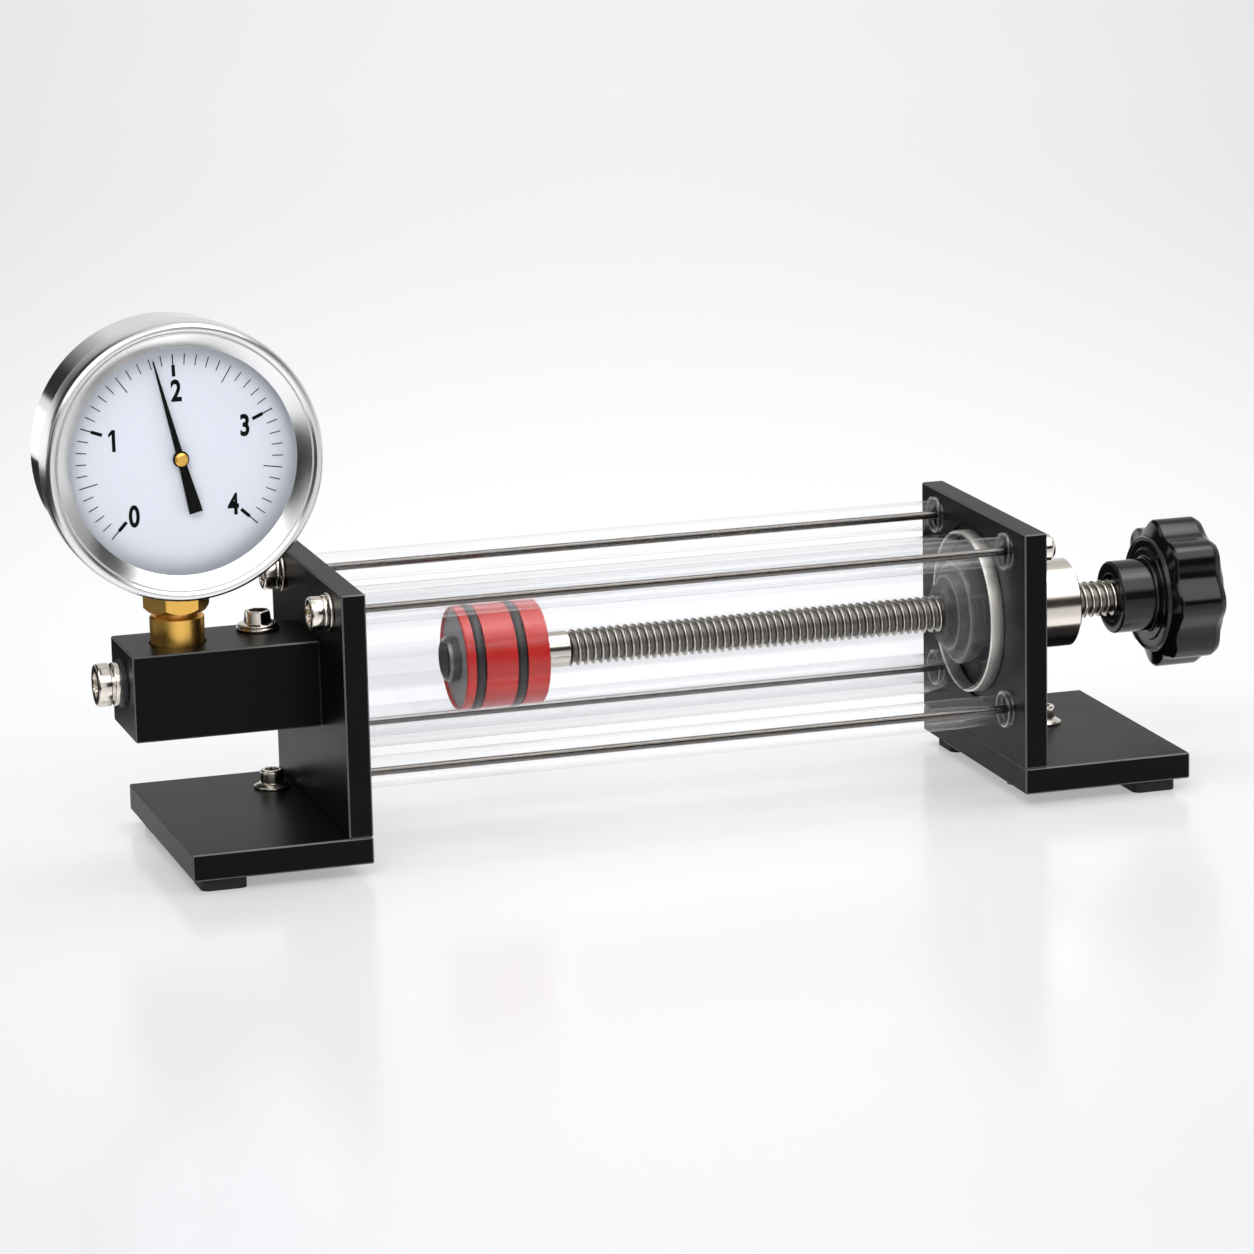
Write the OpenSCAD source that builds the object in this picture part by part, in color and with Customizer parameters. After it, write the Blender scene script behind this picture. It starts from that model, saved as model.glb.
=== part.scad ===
// Apparatus for the gas law of Boyle and Mariotte: a screw drives a piston along a clear
// cylinder, and a dial gauge shows the pressure of the air that the piston shuts in.
// +X runs along the cylinder from the gauge to the knob, +Z is up, and the viewer stands at -Y.
// The origin is on the ground, under the middle of the whole object. Sizes are in millimetres.

/* [Frame] */
// Distance between the inner faces of the two uprights
span = 253; // [180:1:400]
// Thickness of each upright
upright_t = 9; // [8:0.5:14]
// Height of each upright above its base
upright_h = 90; // [88:1:130]
// Width of the uprights and bases, front to back
frame_w = 108; // [96:1:160]
// Length of each base, outward from the inner face of its upright
base_l = 67; // [56:1:120]
// Thickness of each base
base_t = 10; // [8:0.5:16]
// Side of a square foot
foot_side = 17; // [10:0.5:24]
// Height of a foot
foot_h = 5; // [2:0.5:12]
// Distance from the edges of the base to a foot
foot_inset = 4; // [1:0.5:8]
// Bevel on the edges of the metal slabs
edge = 0.6; // [0.2:0.1:1.2]

/* [Cylinder] */
// Height of the cylinder's axis above the underside of the bases
axis_h = 60; // [56:0.5:64]
// Outer diameter of the clear cylinder
tube_od = 60; // [54:0.5:66]
// Bore of the clear cylinder
tube_bore = 40; // [32:0.5:48]
// Depth of the seat for the cylinder in each upright
seat_depth = 3.5; // [2.5:0.1:4.5]
// Thickness of the flat gasket in each seat
gasket_t = 1.5; // [0.5:0.1:2]
// Width of the bright ring round each end of the cylinder
tube_ring_w = 4.5; // [2:0.5:10]
// Length of the end caps inside the cylinder
cap_reach = 8; // [5:0.5:14]
// Diameter of the gas passages
port_d = 5; // [3:0.5:6]

/* [Tie rods] */
// Distance of the tie rods from the middle plane, front to back
rod_y = 36.5; // [36:0.5:44]
// Distance of the tie rods above and below the cylinder's axis
rod_z = 30.5; // [28:0.5:34]
// Diameter of the tie rods
rod_d = 3; // [2.5:0.5:6]
// Outer diameter of the clear sleeves round the tie rods
sleeve_od = 11.5; // [8:0.5:14]
// Outer diameter of the clear ring at each end of a sleeve
sleeve_ring_od = 14; // [12:0.5:18]
// Length of the clear ring at each end of a sleeve
sleeve_ring_w = 2.5; // [1:0.5:5]
// Diameter of the heads of the upper tie bolts
bolt_head_d = 12.4; // [9:0.1:14]
// Length of the heads of the upper tie bolts
bolt_head_l = 4.6; // [3:0.1:10]

/* [Manifold] */
// Length of the manifold block, outward from the left upright
block_l = 69.5; // [56:0.5:90]
// Width of the manifold block, front to back
block_w = 38; // [30:0.5:44]
// Height of the manifold block
block_h = 32; // [26:0.5:36]
// Distance from the left upright's inner face to the gauge stem
gauge_out = 57.5; // [44:0.5:70]
// Distance from the left upright's inner face to the bleed screw
bleed_out = 25.5; // [22:0.5:30]
// Distance of the bleed screw behind the middle plane
bleed_back = 8.5; // [0:0.5:9]

/* [Gauge] */
// Outer diameter of the bezel
bezel_d = 101.5; // [90:0.5:120]
// Diameter of the opening in the bezel
dial_view_d = 83; // [72:1:84]
// Depth of the gauge from its front to its back
gauge_depth = 42; // [40:0.5:50]
// Clear height between the manifold block and the bezel
gauge_clear = 20.5; // [20:0.5:45]
// Distance from the front of the gauge back to its stem
stem_back = 28; // [26:0.5:30]
// Wall of the gauge case
case_wall = 1.5; // [1:0.1:3]
// Teeth of a full circle of the sector gear
sector_teeth = 120; // [112:8:128]
// Teeth of the pinion
pinion_teeth = 15; // [14:1:16]
// Gear module, the pitch diameter over the teeth
gear_module = 0.4; // [0.38:0.01:0.42]
// Reading of the pointer at rest, in bar
reading = 1.8; // [0:0.1:4]

/* [Piston] */
// Distance from the left upright's inner face to the piston's front face
piston_gap = 46.5; // [40:0.5:120]
// Length of the piston
piston_l = 32; // [26:0.5:50]
// Gap between the piston and the bore, all round
piston_gap_r = 0.5; // [0.3:0.05:0.8]
// Thickness of the piston's sealing rings
seal_t = 4; // [2.5:0.1:5]
// Distance from the piston's front face to its first sealing ring
seal_1 = 5.5; // [5.5:0.5:8]
// Distance from the piston's front face to its second sealing ring
seal_2 = 21.5; // [14:0.5:22]
// Diameter of the boss on the piston's front face
boss_d = 17; // [10:0.5:20]
// Length of the boss on the piston's front face
boss_l = 5; // [2:0.5:8]

/* [Lead screw] */
// Outer diameter of the lead screw
screw_d = 14; // [12:0.2:17]
// Outer diameter of the smooth gland behind the piston
gland_d = 13.4; // [13:0.1:16]
// Length of the smooth gland that shows behind the piston
gland_l = 12; // [8:0.5:20]
// Outer diameter of the screw's nut
nut_d = 34; // [28:0.5:42]
// Length of the nut outside the right upright
nut_l = 29.5; // [16:0.5:40]
// Length of screw between the nut and the knob
knob_gap = 18.4; // [4:0.1:30]

/* [Knob] */
// Diameter of the knob over its lobes
knob_d = 58; // [46:1:70]
// Depth of the hollows between the lobes
lobe_depth = 3.3; // [1:0.1:6]
// Number of lobes
lobes = 8; // [5:1:10]
// Thickness of the lobed part
knob_t = 22.5; // [14:0.5:28]
// Diameter of the knob's hub
hub_d = 28; // [26:0.5:34]
// Length of the knob's hub
hub_l = 16.4; // [12:0.1:26]

/* [Fits] */
// Gap between fixed pieces, all round
fit_gap = 0.05; // [0.02:0.01:0.1]
// Gap between a turning piece and its bore, all round
run_gap = 0.06; // [0.02:0.01:0.1]

/* [Hidden] */
$fn = 48;

// A cut runs this far past the face that it opens
over = 1;

// Places along X, first from the left upright's inner face and then from the middle
gauge_low = -gauge_out - bezel_d / 2;
knob_high = span + upright_t + nut_l + knob_gap + hub_l + knob_t;
left_face = -(gauge_low + knob_high) / 2;
right_face = left_face + span;
left_outer = left_face - upright_t;
right_outer = right_face + upright_t;
block_end = left_outer - block_l;
gauge_x = left_face - gauge_out;
bleed_x = left_face - bleed_out;
piston_x = left_face + piston_gap;
gland_x = piston_x + piston_l;
screw_x = gland_x + gland_l;
nut_end = right_outer + nut_l;
hub_x = nut_end + knob_gap;
head_x = hub_x + hub_l;

// Heights
base_top = foot_h + base_t;
frame_top = base_top + upright_h;
axis_z = foot_h + axis_h;
block_top = axis_z + block_h / 2;
gauge_z = block_top + gauge_clear + bezel_d / 2;

// Slabs and their hidden screws
screw_shank = 5;
screw_head = 9.4;
screw_head_l = 2.6;
base_screw_y = 36;
base_screw_deep = 12;
block_screw_y = 12;
block_screw_deep = 14;
flange_d = 14;
flange_t = 2;
flange_head_d = 8.8;
flange_head_l = 5;
left_flange_at = [8.5, 29];
right_flange_at = [24, 10];
flange_shank_l = 8;
foot_round = 3;
seat_play = 0.1;
seat_rim = 3.8;
seat_rim_l = 1;

// Manifold passages, plug and bleed screw
plug_d = 16;
plug_head_l = 5;
plug_ring_l = 2.5;
plug_neck_d = 12;
plug_neck_l = 1.2;
plug_seal_d = 18;
plug_seal_t = 2.5;
plug_seal_sunk = 1;
plug_z = axis_z + 2.4;
plug_thread_d = 10;
plug_thread_l = 9;
bleed_shank_d = 6;
bleed_shank_l = 8;
bleed_head_d = 11;
bleed_head_top_d = 9.8;
bleed_head_l = 4.4;
bleed_socket_af = 6;
bleed_socket_l = 3;
bleed_flange_d = 15;
bleed_flange_l = 1.4;
bleed_washer_d = 16;
bleed_washer_t = 1.4;
bleed_rise = 2;

// Brass under the gauge
socket_d = 20;
socket_h = 10.5;
socket_sunk = 6;
socket_play = 0.6;
stem_thread_d = 12;
stem_neck_d = 16;
stem_neck_h = 0.7;
stem_hex_af = 21.5;
stem_hex_h = 6.5;
stem_thread_l = 8;
stem_seal_t = 1;

// Gauge, with depths counted back from its front
gauge_y = -stem_back;
lip_depth = 4.5;
window_t = 2;
window_gasket_t = 1.5;
case_front = lip_depth + window_t + window_gasket_t;
bezel_skirt = 14;
case_r = bezel_d / 2 - 2;
case_bore_r = case_r - case_wall;
dial_front = 11;
dial_t = 1;
needle_front = 8.6;
needle_t = 0.7;
front_plate_at = 15;
plate_t = 1.2;
pinion_at = 17.6;
pinion_t = 2.6;
sector_at = 18;
sector_t = 1.6;
link_at = 20.1;
link_t = 0.8;
spring_at = 21.4;
spring_t = 0.5;
back_plate_at = 23.2;
block_front = back_plate_at + plate_t;
bourdon_at = 28.6;
bourdon_w = 8;
bourdon_t = 4;
bourdon_r = 33;
bourdon_tip = -15;
bourdon_sweep = 270;
pinion_r = gear_module * pinion_teeth / 2;
sector_r = gear_module * sector_teeth / 2;
pivot_z = -(pinion_r + sector_r);
pressure_angle = 20;
tooth_play = 0.05;
arbor_d = 1.5;
sector_arbor_d = 2.2;
sector_reach = 8;
tail_l = 12;
tail_turn = -10;
plate_top_r = 9;
plate_low_r = 10;
pillar_d = 3;
pillar_places = [[-5, 5], [5, 5], [-6, pivot_z - 4]];
spacer_places = [[-7, pivot_z], [7, pivot_z]];
spacer_d = 4;
socket_block_w = 17;
socket_block_top = -33;
bar_angle = 67.5;
needle_angle = (reading - 2) * bar_angle;
needle_tip_l = 37.4;
needle_tail_l = 20.4;

// Cylinder and piston
tube_start = left_face - seat_depth + gasket_t;
tube_l = span + 2 * (seat_depth - gasket_t);
cap_d = tube_bore - 2 * fit_gap;
cap_step_d = tube_bore - 10;
cap_step_l = 3;
cap_boss_d = screw_d + 8;
cap_boss_l = 3;
cap_seal_t = 3;
piston_r = tube_bore / 2 - piston_gap_r;
seal_play = 0.03;
face_rim = 1.2;
face_sunk = 1;
face_t = 1.2;
journal_d = 8;
journal_head_d = 11;
journal_head_l = 2;
pocket_l = 14;
pocket_play = 0.5;
nut_spigot_d = screw_d + 10;
screw_in_knob = 26;
insert_d = screw_d + 4;
insert_l = 22;
thread_chamfer = 1;

// Knob
knob_step = 2.5;
lobe_blend = 1.1;
hub_recess_l = 3;
knob_disc_d = 44;
knob_disc_l = 1.5;
knob_lean = 1.5;
knob_round = 1.2;
knob_dome = 4.8;
grub_d = 5;

module along_x(x, y = 0, z = axis_z) {
    translate([x, y, z]) rotate([0, 90, 0]) children();
}

// From a depth behind the gauge's front, backwards, about the dial's centre
module in_gauge(depth, x = 0, z = 0) {
    translate([gauge_x + x, gauge_y + depth, gauge_z + z]) rotate([-90, 0, 0]) children();
}

// The dial's plane with x to the right and z up, extruded backwards from a depth
module dial_plate(depth, thick) {
    translate([gauge_x, gauge_y + depth + thick, gauge_z]) rotate([90, 0, 0])
        linear_extrude(thick) children();
}

module rod(d, l, at = 0) {
    translate([0, 0, at]) cylinder(d = d, h = l);
}

module tube(od, id, l, at = 0) {
    difference() {
        rod(od, l, at);
        rod(id, l + 2 * over, at - over);
    }
}

// A solid of revolution from [radius, height] points
module turned(points) {
    rotate_extrude() polygon(points);
}

module hexagon(across_flats, l, at = 0) {
    translate([0, 0, at]) cylinder(d = across_flats / cos(30), h = l, $fn = 6);
}

module sealing_ring(mean_r, section) {
    rotate_extrude() translate([mean_r, 0]) circle(d = section, $fn = 24);
}

module chamfered_face(a, b) {
    polygon([
        [edge, 0], [a - edge, 0], [a, edge], [a, b - edge],
        [a - edge, b], [edge, b], [0, b - edge], [0, edge]
    ]);
}

// A slab with every edge bevelled, from its lowest corner
module slab(size) {
    intersection() {
        linear_extrude(size.z) chamfered_face(size.x, size.y);
        translate([0, size.y, 0]) rotate([90, 0, 0])
            linear_extrude(size.y) chamfered_face(size.x, size.z);
        rotate([90, 0, 90]) linear_extrude(size.x) chamfered_face(size.y, size.z);
    }
}

module countersunk(l) {
    turned([
        [0, 0], [screw_head / 2, 0], [screw_shank / 2, screw_head_l],
        [screw_shank / 2, l], [0, l]
    ]);
}

module countersunk_hole(l) {
    wide = screw_head / 2 + fit_gap;
    narrow = screw_shank / 2 + fit_gap;
    turned([
        [0, -over], [wide, -over], [wide, 0], [narrow, screw_head_l],
        [narrow, l], [0, l]
    ]);
}

module at_upright_screws(x) {
    for (y = [-base_screw_y, base_screw_y]) translate([x, y, foot_h]) children();
}

module upright(x) {
    difference() {
        translate([x, -frame_w / 2, base_top]) slab([upright_t, frame_w, upright_h]);
        at_upright_screws(x + upright_t / 2) countersunk_hole(base_t + base_screw_deep + 1);
    }
}

module left_upright() {
    color([0.06, 0.06, 0.065]) difference() {
        upright(left_outer);
        along_x(left_face - seat_depth) rod(tube_od + 2 * seat_play, seat_depth + over);
        along_x(left_face - seat_rim_l) rod(tube_od + 2 * seat_rim, seat_rim_l + over);
        along_x(left_outer - over) rod(port_d, upright_t + 2 * over);
        for (y = [-rod_y, rod_y]) {
            along_x(left_outer - over, y, axis_z + rod_z)
                rod(rod_d + 2 * fit_gap, upright_t + 2 * over);
            along_x(left_face - seat_depth, y, axis_z - rod_z)
                rod(rod_d + 2 * fit_gap, seat_depth + over);
        }
        at_block_screws() countersunk_hole(block_screw_deep + upright_t);
    }
}

module right_upright() {
    color([0.06, 0.06, 0.065]) difference() {
        upright(right_face);
        along_x(right_face - over) rod(tube_od + 2 * seat_play, seat_depth + over);
        along_x(right_face - over) rod(tube_od + 2 * seat_rim, seat_rim_l + over);
        along_x(right_face) rod(nut_spigot_d + 2 * fit_gap, upright_t + over);
        for (y = [-rod_y, rod_y]) {
            along_x(right_face - over, y, axis_z + rod_z)
                rod(rod_d + 2 * fit_gap, upright_t + 2 * over);
            along_x(right_face - over, y, axis_z - rod_z)
                rod(rod_d + 2 * fit_gap, seat_depth + over);
        }
    }
}

module base(x, inner_x, flange_x, flange_y) {
    difference() {
        translate([x, -frame_w / 2, foot_h]) slab([base_l, frame_w, base_t]);
        at_upright_screws(inner_x) countersunk_hole(base_t + over);
        translate([flange_x, flange_y, base_top - flange_shank_l - over])
            rod(screw_shank + 2 * fit_gap, flange_shank_l + 2 * over);
    }
}

left_flange_x = left_outer - left_flange_at.x;
right_flange_x = right_outer + right_flange_at.x;

module left_base() {
    color([0.05, 0.05, 0.055])
        base(left_face - base_l, left_outer + upright_t / 2, left_flange_x, left_flange_at.y);
}

module right_base() {
    color([0.05, 0.05, 0.055])
        base(right_face, right_face + upright_t / 2, right_flange_x, right_flange_at.y);
}

module foot(x, y) {
    reach = foot_side / 2 - foot_round;
    translate([x, y, 0]) linear_extrude(foot_h) {
        square([foot_side, 2 * reach], center = true);
        square([2 * reach, foot_side], center = true);
        for (sx = [-1, 1]) for (sy = [-1, 1])
            translate([sx * reach, sy * reach]) circle(r = foot_round, $fn = 24);
    }
}

// Two feet at the outer corners of each base and one at its inner back corner
module feet() {
    to_middle = foot_inset + foot_side / 2;
    side_y = frame_w / 2 - to_middle;
    outer_x = [left_face - base_l + to_middle, right_face + base_l - to_middle];
    inner_x = [left_face - to_middle, right_face + to_middle];
    color([0.03, 0.03, 0.03]) {
        for (x = outer_x) for (y = [-side_y, side_y]) foot(x, y);
        for (x = inner_x) foot(x, side_y);
    }
}

module upright_screws() {
    color([0.5, 0.5, 0.52]) for (x = [left_outer, right_face])
        at_upright_screws(x + upright_t / 2) countersunk(base_t + base_screw_deep);
}

module base_screws() {
    places = [[left_flange_x, left_flange_at.y], [right_flange_x, right_flange_at.y]];
    color([0.78, 0.74, 0.68]) for (place = places) translate([place.x, place.y, base_top])
        difference() {
            union() {
                rod(screw_shank, flange_shank_l, -flange_shank_l);
                turned([
                    [0, 0], [flange_d / 2, 0], [flange_d / 2, flange_t * 0.4],
                    [flange_head_d / 2, flange_t], [0, flange_t]
                ]);
                turned([
                    [0, flange_t], [flange_head_d / 2, flange_t],
                    [flange_head_d / 2, flange_t + flange_head_l - 0.6],
                    [flange_head_d / 2 - 0.6, flange_t + flange_head_l],
                    [0, flange_t + flange_head_l]
                ]);
            }
            hexagon(4, 3 + over, flange_t + flange_head_l - 3);
        }
}

module at_block_screws() {
    for (y = [-block_screw_y, block_screw_y])
        translate([left_face - seat_depth, y, axis_z]) rotate([0, -90, 0]) children();
}

module block_screws() {
    color([0.5, 0.5, 0.52]) at_block_screws()
        countersunk(upright_t - seat_depth + block_screw_deep - 1);
}

// The drilled channel runs from the left end to the cylinder's port
module manifold_block() {
    color([0.055, 0.055, 0.06]) difference() {
        translate([block_end, -block_w / 2, axis_z - block_h / 2])
            slab([block_l, block_w, block_h]);
        along_x(block_end - over) rod(port_d, block_l + 2 * over);
        along_x(block_end - over, 0, plug_z)
            rod(plug_thread_d + 2 * fit_gap, plug_thread_l + 1 + over);
        along_x(block_end - over, 0, plug_z)
            rod(plug_seal_d + 2 * fit_gap, plug_seal_sunk + over);
        translate([gauge_x, 0, axis_z]) rod(port_d, block_h);
        translate([gauge_x, 0, block_top - socket_sunk])
            rod(socket_d + 2 * socket_play, socket_sunk + over);
        translate([bleed_x, bleed_back, axis_z + 4])
            rod(bleed_shank_d + 2 * run_gap, block_h);
        translate([bleed_x, 0, axis_z + 4 + port_d / 2]) rotate([-90, 0, 0])
            translate([0, 0, -port_d / 4]) rod(port_d / 2, bleed_back + port_d / 4);
        translate([bleed_x, 0, axis_z]) rod(port_d / 2, 4 + port_d / 2);
        at_block_screws() countersunk_hole(upright_t - seat_depth + block_screw_deep);
    }
}

module end_plug() {
    seal_front = block_end - plug_seal_t + plug_seal_sunk;
    ring_front = seal_front - plug_ring_l;
    neck_front = ring_front - plug_neck_l;
    head_front = neck_front - plug_head_l;
    color([0.80, 0.75, 0.67]) difference() {
        union() {
            along_x(head_front, 0, plug_z) turned([
                [0, 0], [plug_d / 2 - 0.8, 0], [plug_d / 2, 0.8], [plug_d / 2, plug_head_l],
                [0, plug_head_l]
            ]);
            along_x(neck_front, 0, plug_z) rod(plug_neck_d, plug_neck_l);
            along_x(ring_front, 0, plug_z) rod(plug_d, plug_ring_l);
            along_x(seal_front, 0, plug_z)
                rod(plug_thread_d, plug_seal_t - plug_seal_sunk + plug_thread_l);
        }
        along_x(head_front - over, 0, plug_z) hexagon(6, 3.5 + over);
    }
}

module plug_seal() {
    color([0.02, 0.02, 0.02]) along_x(block_end - plug_seal_t + plug_seal_sunk, 0, plug_z)
        tube(plug_seal_d, plug_thread_d + 2 * fit_gap, plug_seal_t);
}

module bleed_washer() {
    color([0.78, 0.74, 0.68]) translate([bleed_x, bleed_back, block_top])
        tube(bleed_washer_d, bleed_shank_d + 2 * run_gap, bleed_washer_t);
}

module bleed_screw() {
    flange_low = block_top + bleed_washer_t;
    head_low = flange_low + bleed_flange_l;
    color([0.80, 0.76, 0.70]) translate([bleed_x, bleed_back, 0]) difference() {
        union() {
            rod(bleed_shank_d, bleed_shank_l + bleed_washer_t, block_top - bleed_shank_l);
            translate([0, 0, flange_low]) turned([
                [0, 0], [bleed_flange_d / 2, 0], [bleed_flange_d / 2, bleed_flange_l * 0.5],
                [bleed_head_d / 2, bleed_flange_l], [0, bleed_flange_l]
            ]);
            intersection() {
                hexagon(bleed_head_d * cos(30), bleed_head_l, head_low);
                translate([0, 0, head_low]) turned([
                    [0, 0], [bleed_head_d / 2, 0], [bleed_head_top_d / 2, bleed_head_l],
                    [0, bleed_head_l]
                ]);
            }
        }
        hexagon(bleed_socket_af, bleed_socket_l + over, head_low + bleed_head_l - bleed_socket_l);
    }
}

module cylinder_tube() {
    color([0.85, 0.9, 0.93, 0.35]) along_x(tube_start) tube(tube_od, tube_bore, tube_l);
}

module tube_rings() {
    color([0.82, 0.80, 0.77]) for (x = [left_face - seat_rim_l, right_face - tube_ring_w])
        along_x(x) tube(tube_od + 2, tube_od + 2 * fit_gap, tube_ring_w + seat_rim_l);
}

module tube_gaskets() {
    color([0.03, 0.03, 0.03])
        for (x = [left_face - seat_depth, right_face + seat_depth - gasket_t]) along_x(x)
            tube(tube_od, tube_bore, gasket_t);
}

// The closed end of the cylinder, with the gas port
module gas_end_cap() {
    l = seat_depth + cap_reach;
    groove_x = l - cap_seal_t - 1.4;
    color([0.1, 0.1, 0.11]) along_x(left_face - seat_depth) difference() {
        turned([
            [port_d / 2, 0], [cap_d / 2, 0], [cap_d / 2, l - 1], [cap_d / 2 - 1, l],
            [port_d / 2, l]
        ]);
        translate([0, 0, groove_x])
            tube(cap_d + 2, tube_bore - 2 * cap_seal_t - 4 * seal_play, cap_seal_t);
    }
}

module gas_cap_seal() {
    x = left_face + cap_reach - cap_seal_t / 2 - 1.4;
    color([0.02, 0.02, 0.02]) along_x(x)
        sealing_ring((tube_bore - cap_seal_t) / 2 - seal_play / 2, cap_seal_t - seal_play);
}

// The open end of the cylinder: stepped, vented and bored for the screw
module guide_cap() {
    l = seat_depth + cap_reach;
    color([0.12, 0.12, 0.13]) translate([right_face + seat_depth, 0, axis_z])
        rotate([0, -90, 0]) difference() {
            turned([
                [screw_d / 2 + 2 * run_gap, 0], [cap_d / 2, 0], [cap_d / 2, l - 1],
                [cap_d / 2 - 1, l], [cap_step_d / 2, l], [cap_step_d / 2, l + cap_step_l],
                [cap_boss_d / 2, l + cap_step_l], [cap_boss_d / 2, l + cap_step_l + cap_boss_l],
                [screw_d / 2 + 2 * run_gap, l + cap_step_l + cap_boss_l]
            ]);
            for (turn = [60, 180, 300]) rotate(turn)
                translate([cap_step_d / 2 + 2.4, 0, -over]) rod(2, l + 2 * over);
        }
}

module at_rods(z) {
    for (y = [-rod_y, rod_y]) translate([0, y, axis_z + z]) rotate([0, 90, 0]) children();
}

washer_t = 1.4;
spring_washer_t = 2;
bolt_head_at = left_outer - washer_t - spring_washer_t;
bolt_socket_af = 5.5;
bolt_socket_l = 2.4;
cap_nut_d = 10.4;
cap_nut_l = 9;

module upper_tie_bolts() {
    color([0.80, 0.77, 0.72]) at_rods(rod_z) difference() {
        union() {
            translate([0, 0, bolt_head_at - bolt_head_l]) turned([
                [0, 0], [bolt_head_d / 2 - 0.8, 0], [bolt_head_d / 2, 0.8],
                [bolt_head_d / 2, bolt_head_l], [0, bolt_head_l]
            ]);
            rod(rod_d, right_outer + cap_nut_l - 1.2 - bolt_head_at, bolt_head_at);
        }
        hexagon(bolt_socket_af, bolt_socket_l + over, bolt_head_at - bolt_head_l - over);
    }
}

module lower_tie_studs() {
    color([0.80, 0.77, 0.72]) at_rods(-rod_z)
        rod(rod_d, span + 2 * seat_depth - 1, left_face - seat_depth + 0.5);
}

module tie_spring_washers() {
    color([0.74, 0.70, 0.64]) at_rods(rod_z)
        tube(bolt_head_d + 0.4, rod_d + 2 * fit_gap, spring_washer_t, bolt_head_at);
}

module tie_flat_washers() {
    color([0.78, 0.74, 0.68]) at_rods(rod_z)
        tube(bolt_head_d + 1.9, rod_d + 2 * fit_gap, washer_t, left_outer - washer_t);
}

module cap_nuts() {
    color([0.80, 0.77, 0.72]) at_rods(rod_z) translate([0, 0, right_outer]) difference() {
        turned([
            [0, 0], [cap_nut_d / 2, 0], [cap_nut_d / 2, cap_nut_l - 1.4],
            [cap_nut_d / 2 - 1.4, cap_nut_l], [0, cap_nut_l]
        ]);
        rod(rod_d + 2 * fit_gap, cap_nut_l - 1 + over, -over);
    }
}

module rod_sleeves() {
    color([0.85, 0.9, 0.93, 0.35]) for (z = [-rod_z, rod_z]) at_rods(z)
        tube(sleeve_od, rod_d + 2 * fit_gap, span, left_face);
}

module sleeve_rings() {
    color([0.8, 0.86, 0.9, 0.4]) for (z = [-rod_z, rod_z]) at_rods(z)
        for (x = [left_face, right_face - sleeve_ring_w])
            tube(sleeve_ring_od, sleeve_od + 2 * fit_gap, sleeve_ring_w, x);
}

module piston_body() {
    rear_bore = gland_thread_d + 2 * fit_gap;
    color([0.78, 0.09, 0.06]) along_x(piston_x) difference() {
        turned([
            [0, 0], [piston_r - 0.4, 0], [piston_r, 0.4], [piston_r, piston_l - 0.4],
            [piston_r - 0.4, piston_l], [0, piston_l]
        ]);
        rod(2 * (piston_r - face_rim), face_sunk + face_t + over, -over);
        rod(screw_shank + 2 * fit_gap, piston_l - pocket_l - 2);
        for (x = [seal_1, seal_2]) translate([0, 0, x - seal_t / 2])
            tube(2 * piston_r + 2, tube_bore - 2 * seal_t - 4 * seal_play, seal_t);
        rod(rear_bore, pocket_l + over, piston_l - pocket_l);
    }
}

module piston_seals() {
    color([0.03, 0.03, 0.035]) for (x = [seal_1, seal_2]) along_x(piston_x + x)
        sealing_ring(tube_bore / 2 - seal_t / 2 - seal_play, seal_t - 2 * seal_play);
}

module piston_face_plate() {
    color([0.42, 0.42, 0.44]) along_x(piston_x + face_sunk)
        tube(2 * (piston_r - face_rim - fit_gap), screw_shank + 2 * fit_gap, face_t);
}

module piston_boss() {
    round = 1.6;
    color([0.28, 0.28, 0.3]) along_x(piston_x + face_sunk - boss_l) {
        turned([
            [0, 0], [boss_d / 2 - round, 0], [boss_d / 2 - round * 0.3, round * 0.3],
            [boss_d / 2, round], [boss_d / 2, boss_l], [0, boss_l]
        ]);
        rod(screw_shank, face_t + piston_l - pocket_l - 8, boss_l);
    }
}

// Screwed into the back of the piston, it holds the head of the screw's journal
gland_thread_d = 12;
journal_space = journal_head_l + 2 * pocket_play;

module swivel_gland() {
    inside_l = pocket_l - journal_space;
    color([0.82, 0.80, 0.77]) along_x(gland_x - inside_l) difference() {
        union() {
            rod(gland_thread_d, inside_l);
            turned([
                [0, inside_l], [gland_d / 2, inside_l], [gland_d / 2, inside_l + gland_l - 0.5],
                [gland_d / 2 - 0.5, inside_l + gland_l], [0, inside_l + gland_l]
            ]);
        }
        rod(journal_d + 2 * run_gap, inside_l + gland_l + 2 * over, -over);
    }
}

module lead_screw() {
    journal_l = pocket_l - journal_space + gland_l + pocket_play;
    head_l = journal_head_l;
    thread_l = hub_x + screw_in_knob - screw_x - pocket_play;
    r = screw_d / 2;
    color([0.66, 0.63, 0.59]) along_x(screw_x + pocket_play) {
        turned([
            [0, 0], [r - thread_chamfer, 0], [r, thread_chamfer],
            [r, thread_l - thread_chamfer], [r - thread_chamfer, thread_l], [0, thread_l]
        ]);
        rod(journal_d, journal_l, -journal_l);
        rod(journal_head_d, head_l, -journal_l - head_l);
    }
}

// Its spigot fills the hole in the right upright, and its bore carries the screw
module screw_nut() {
    spigot_l = upright_t - seat_depth;
    color([0.82, 0.79, 0.74]) along_x(right_outer - spigot_l) difference() {
        turned([
            [0, 0], [nut_spigot_d / 2, 0], [nut_spigot_d / 2, spigot_l],
            [nut_d / 2, spigot_l], [nut_d / 2, spigot_l + nut_l - 0.6],
            [nut_d / 2 - 0.6, spigot_l + nut_l], [0, spigot_l + nut_l]
        ]);
        rod(screw_d + 2 * run_gap, spigot_l + nut_l + 2 * over, -over);
    }
}

function lobe_radius(turn) = knob_d / 2 - lobe_depth * (0.5 - 0.5 * cos(lobes * turn)) ^ lobe_blend;

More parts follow.
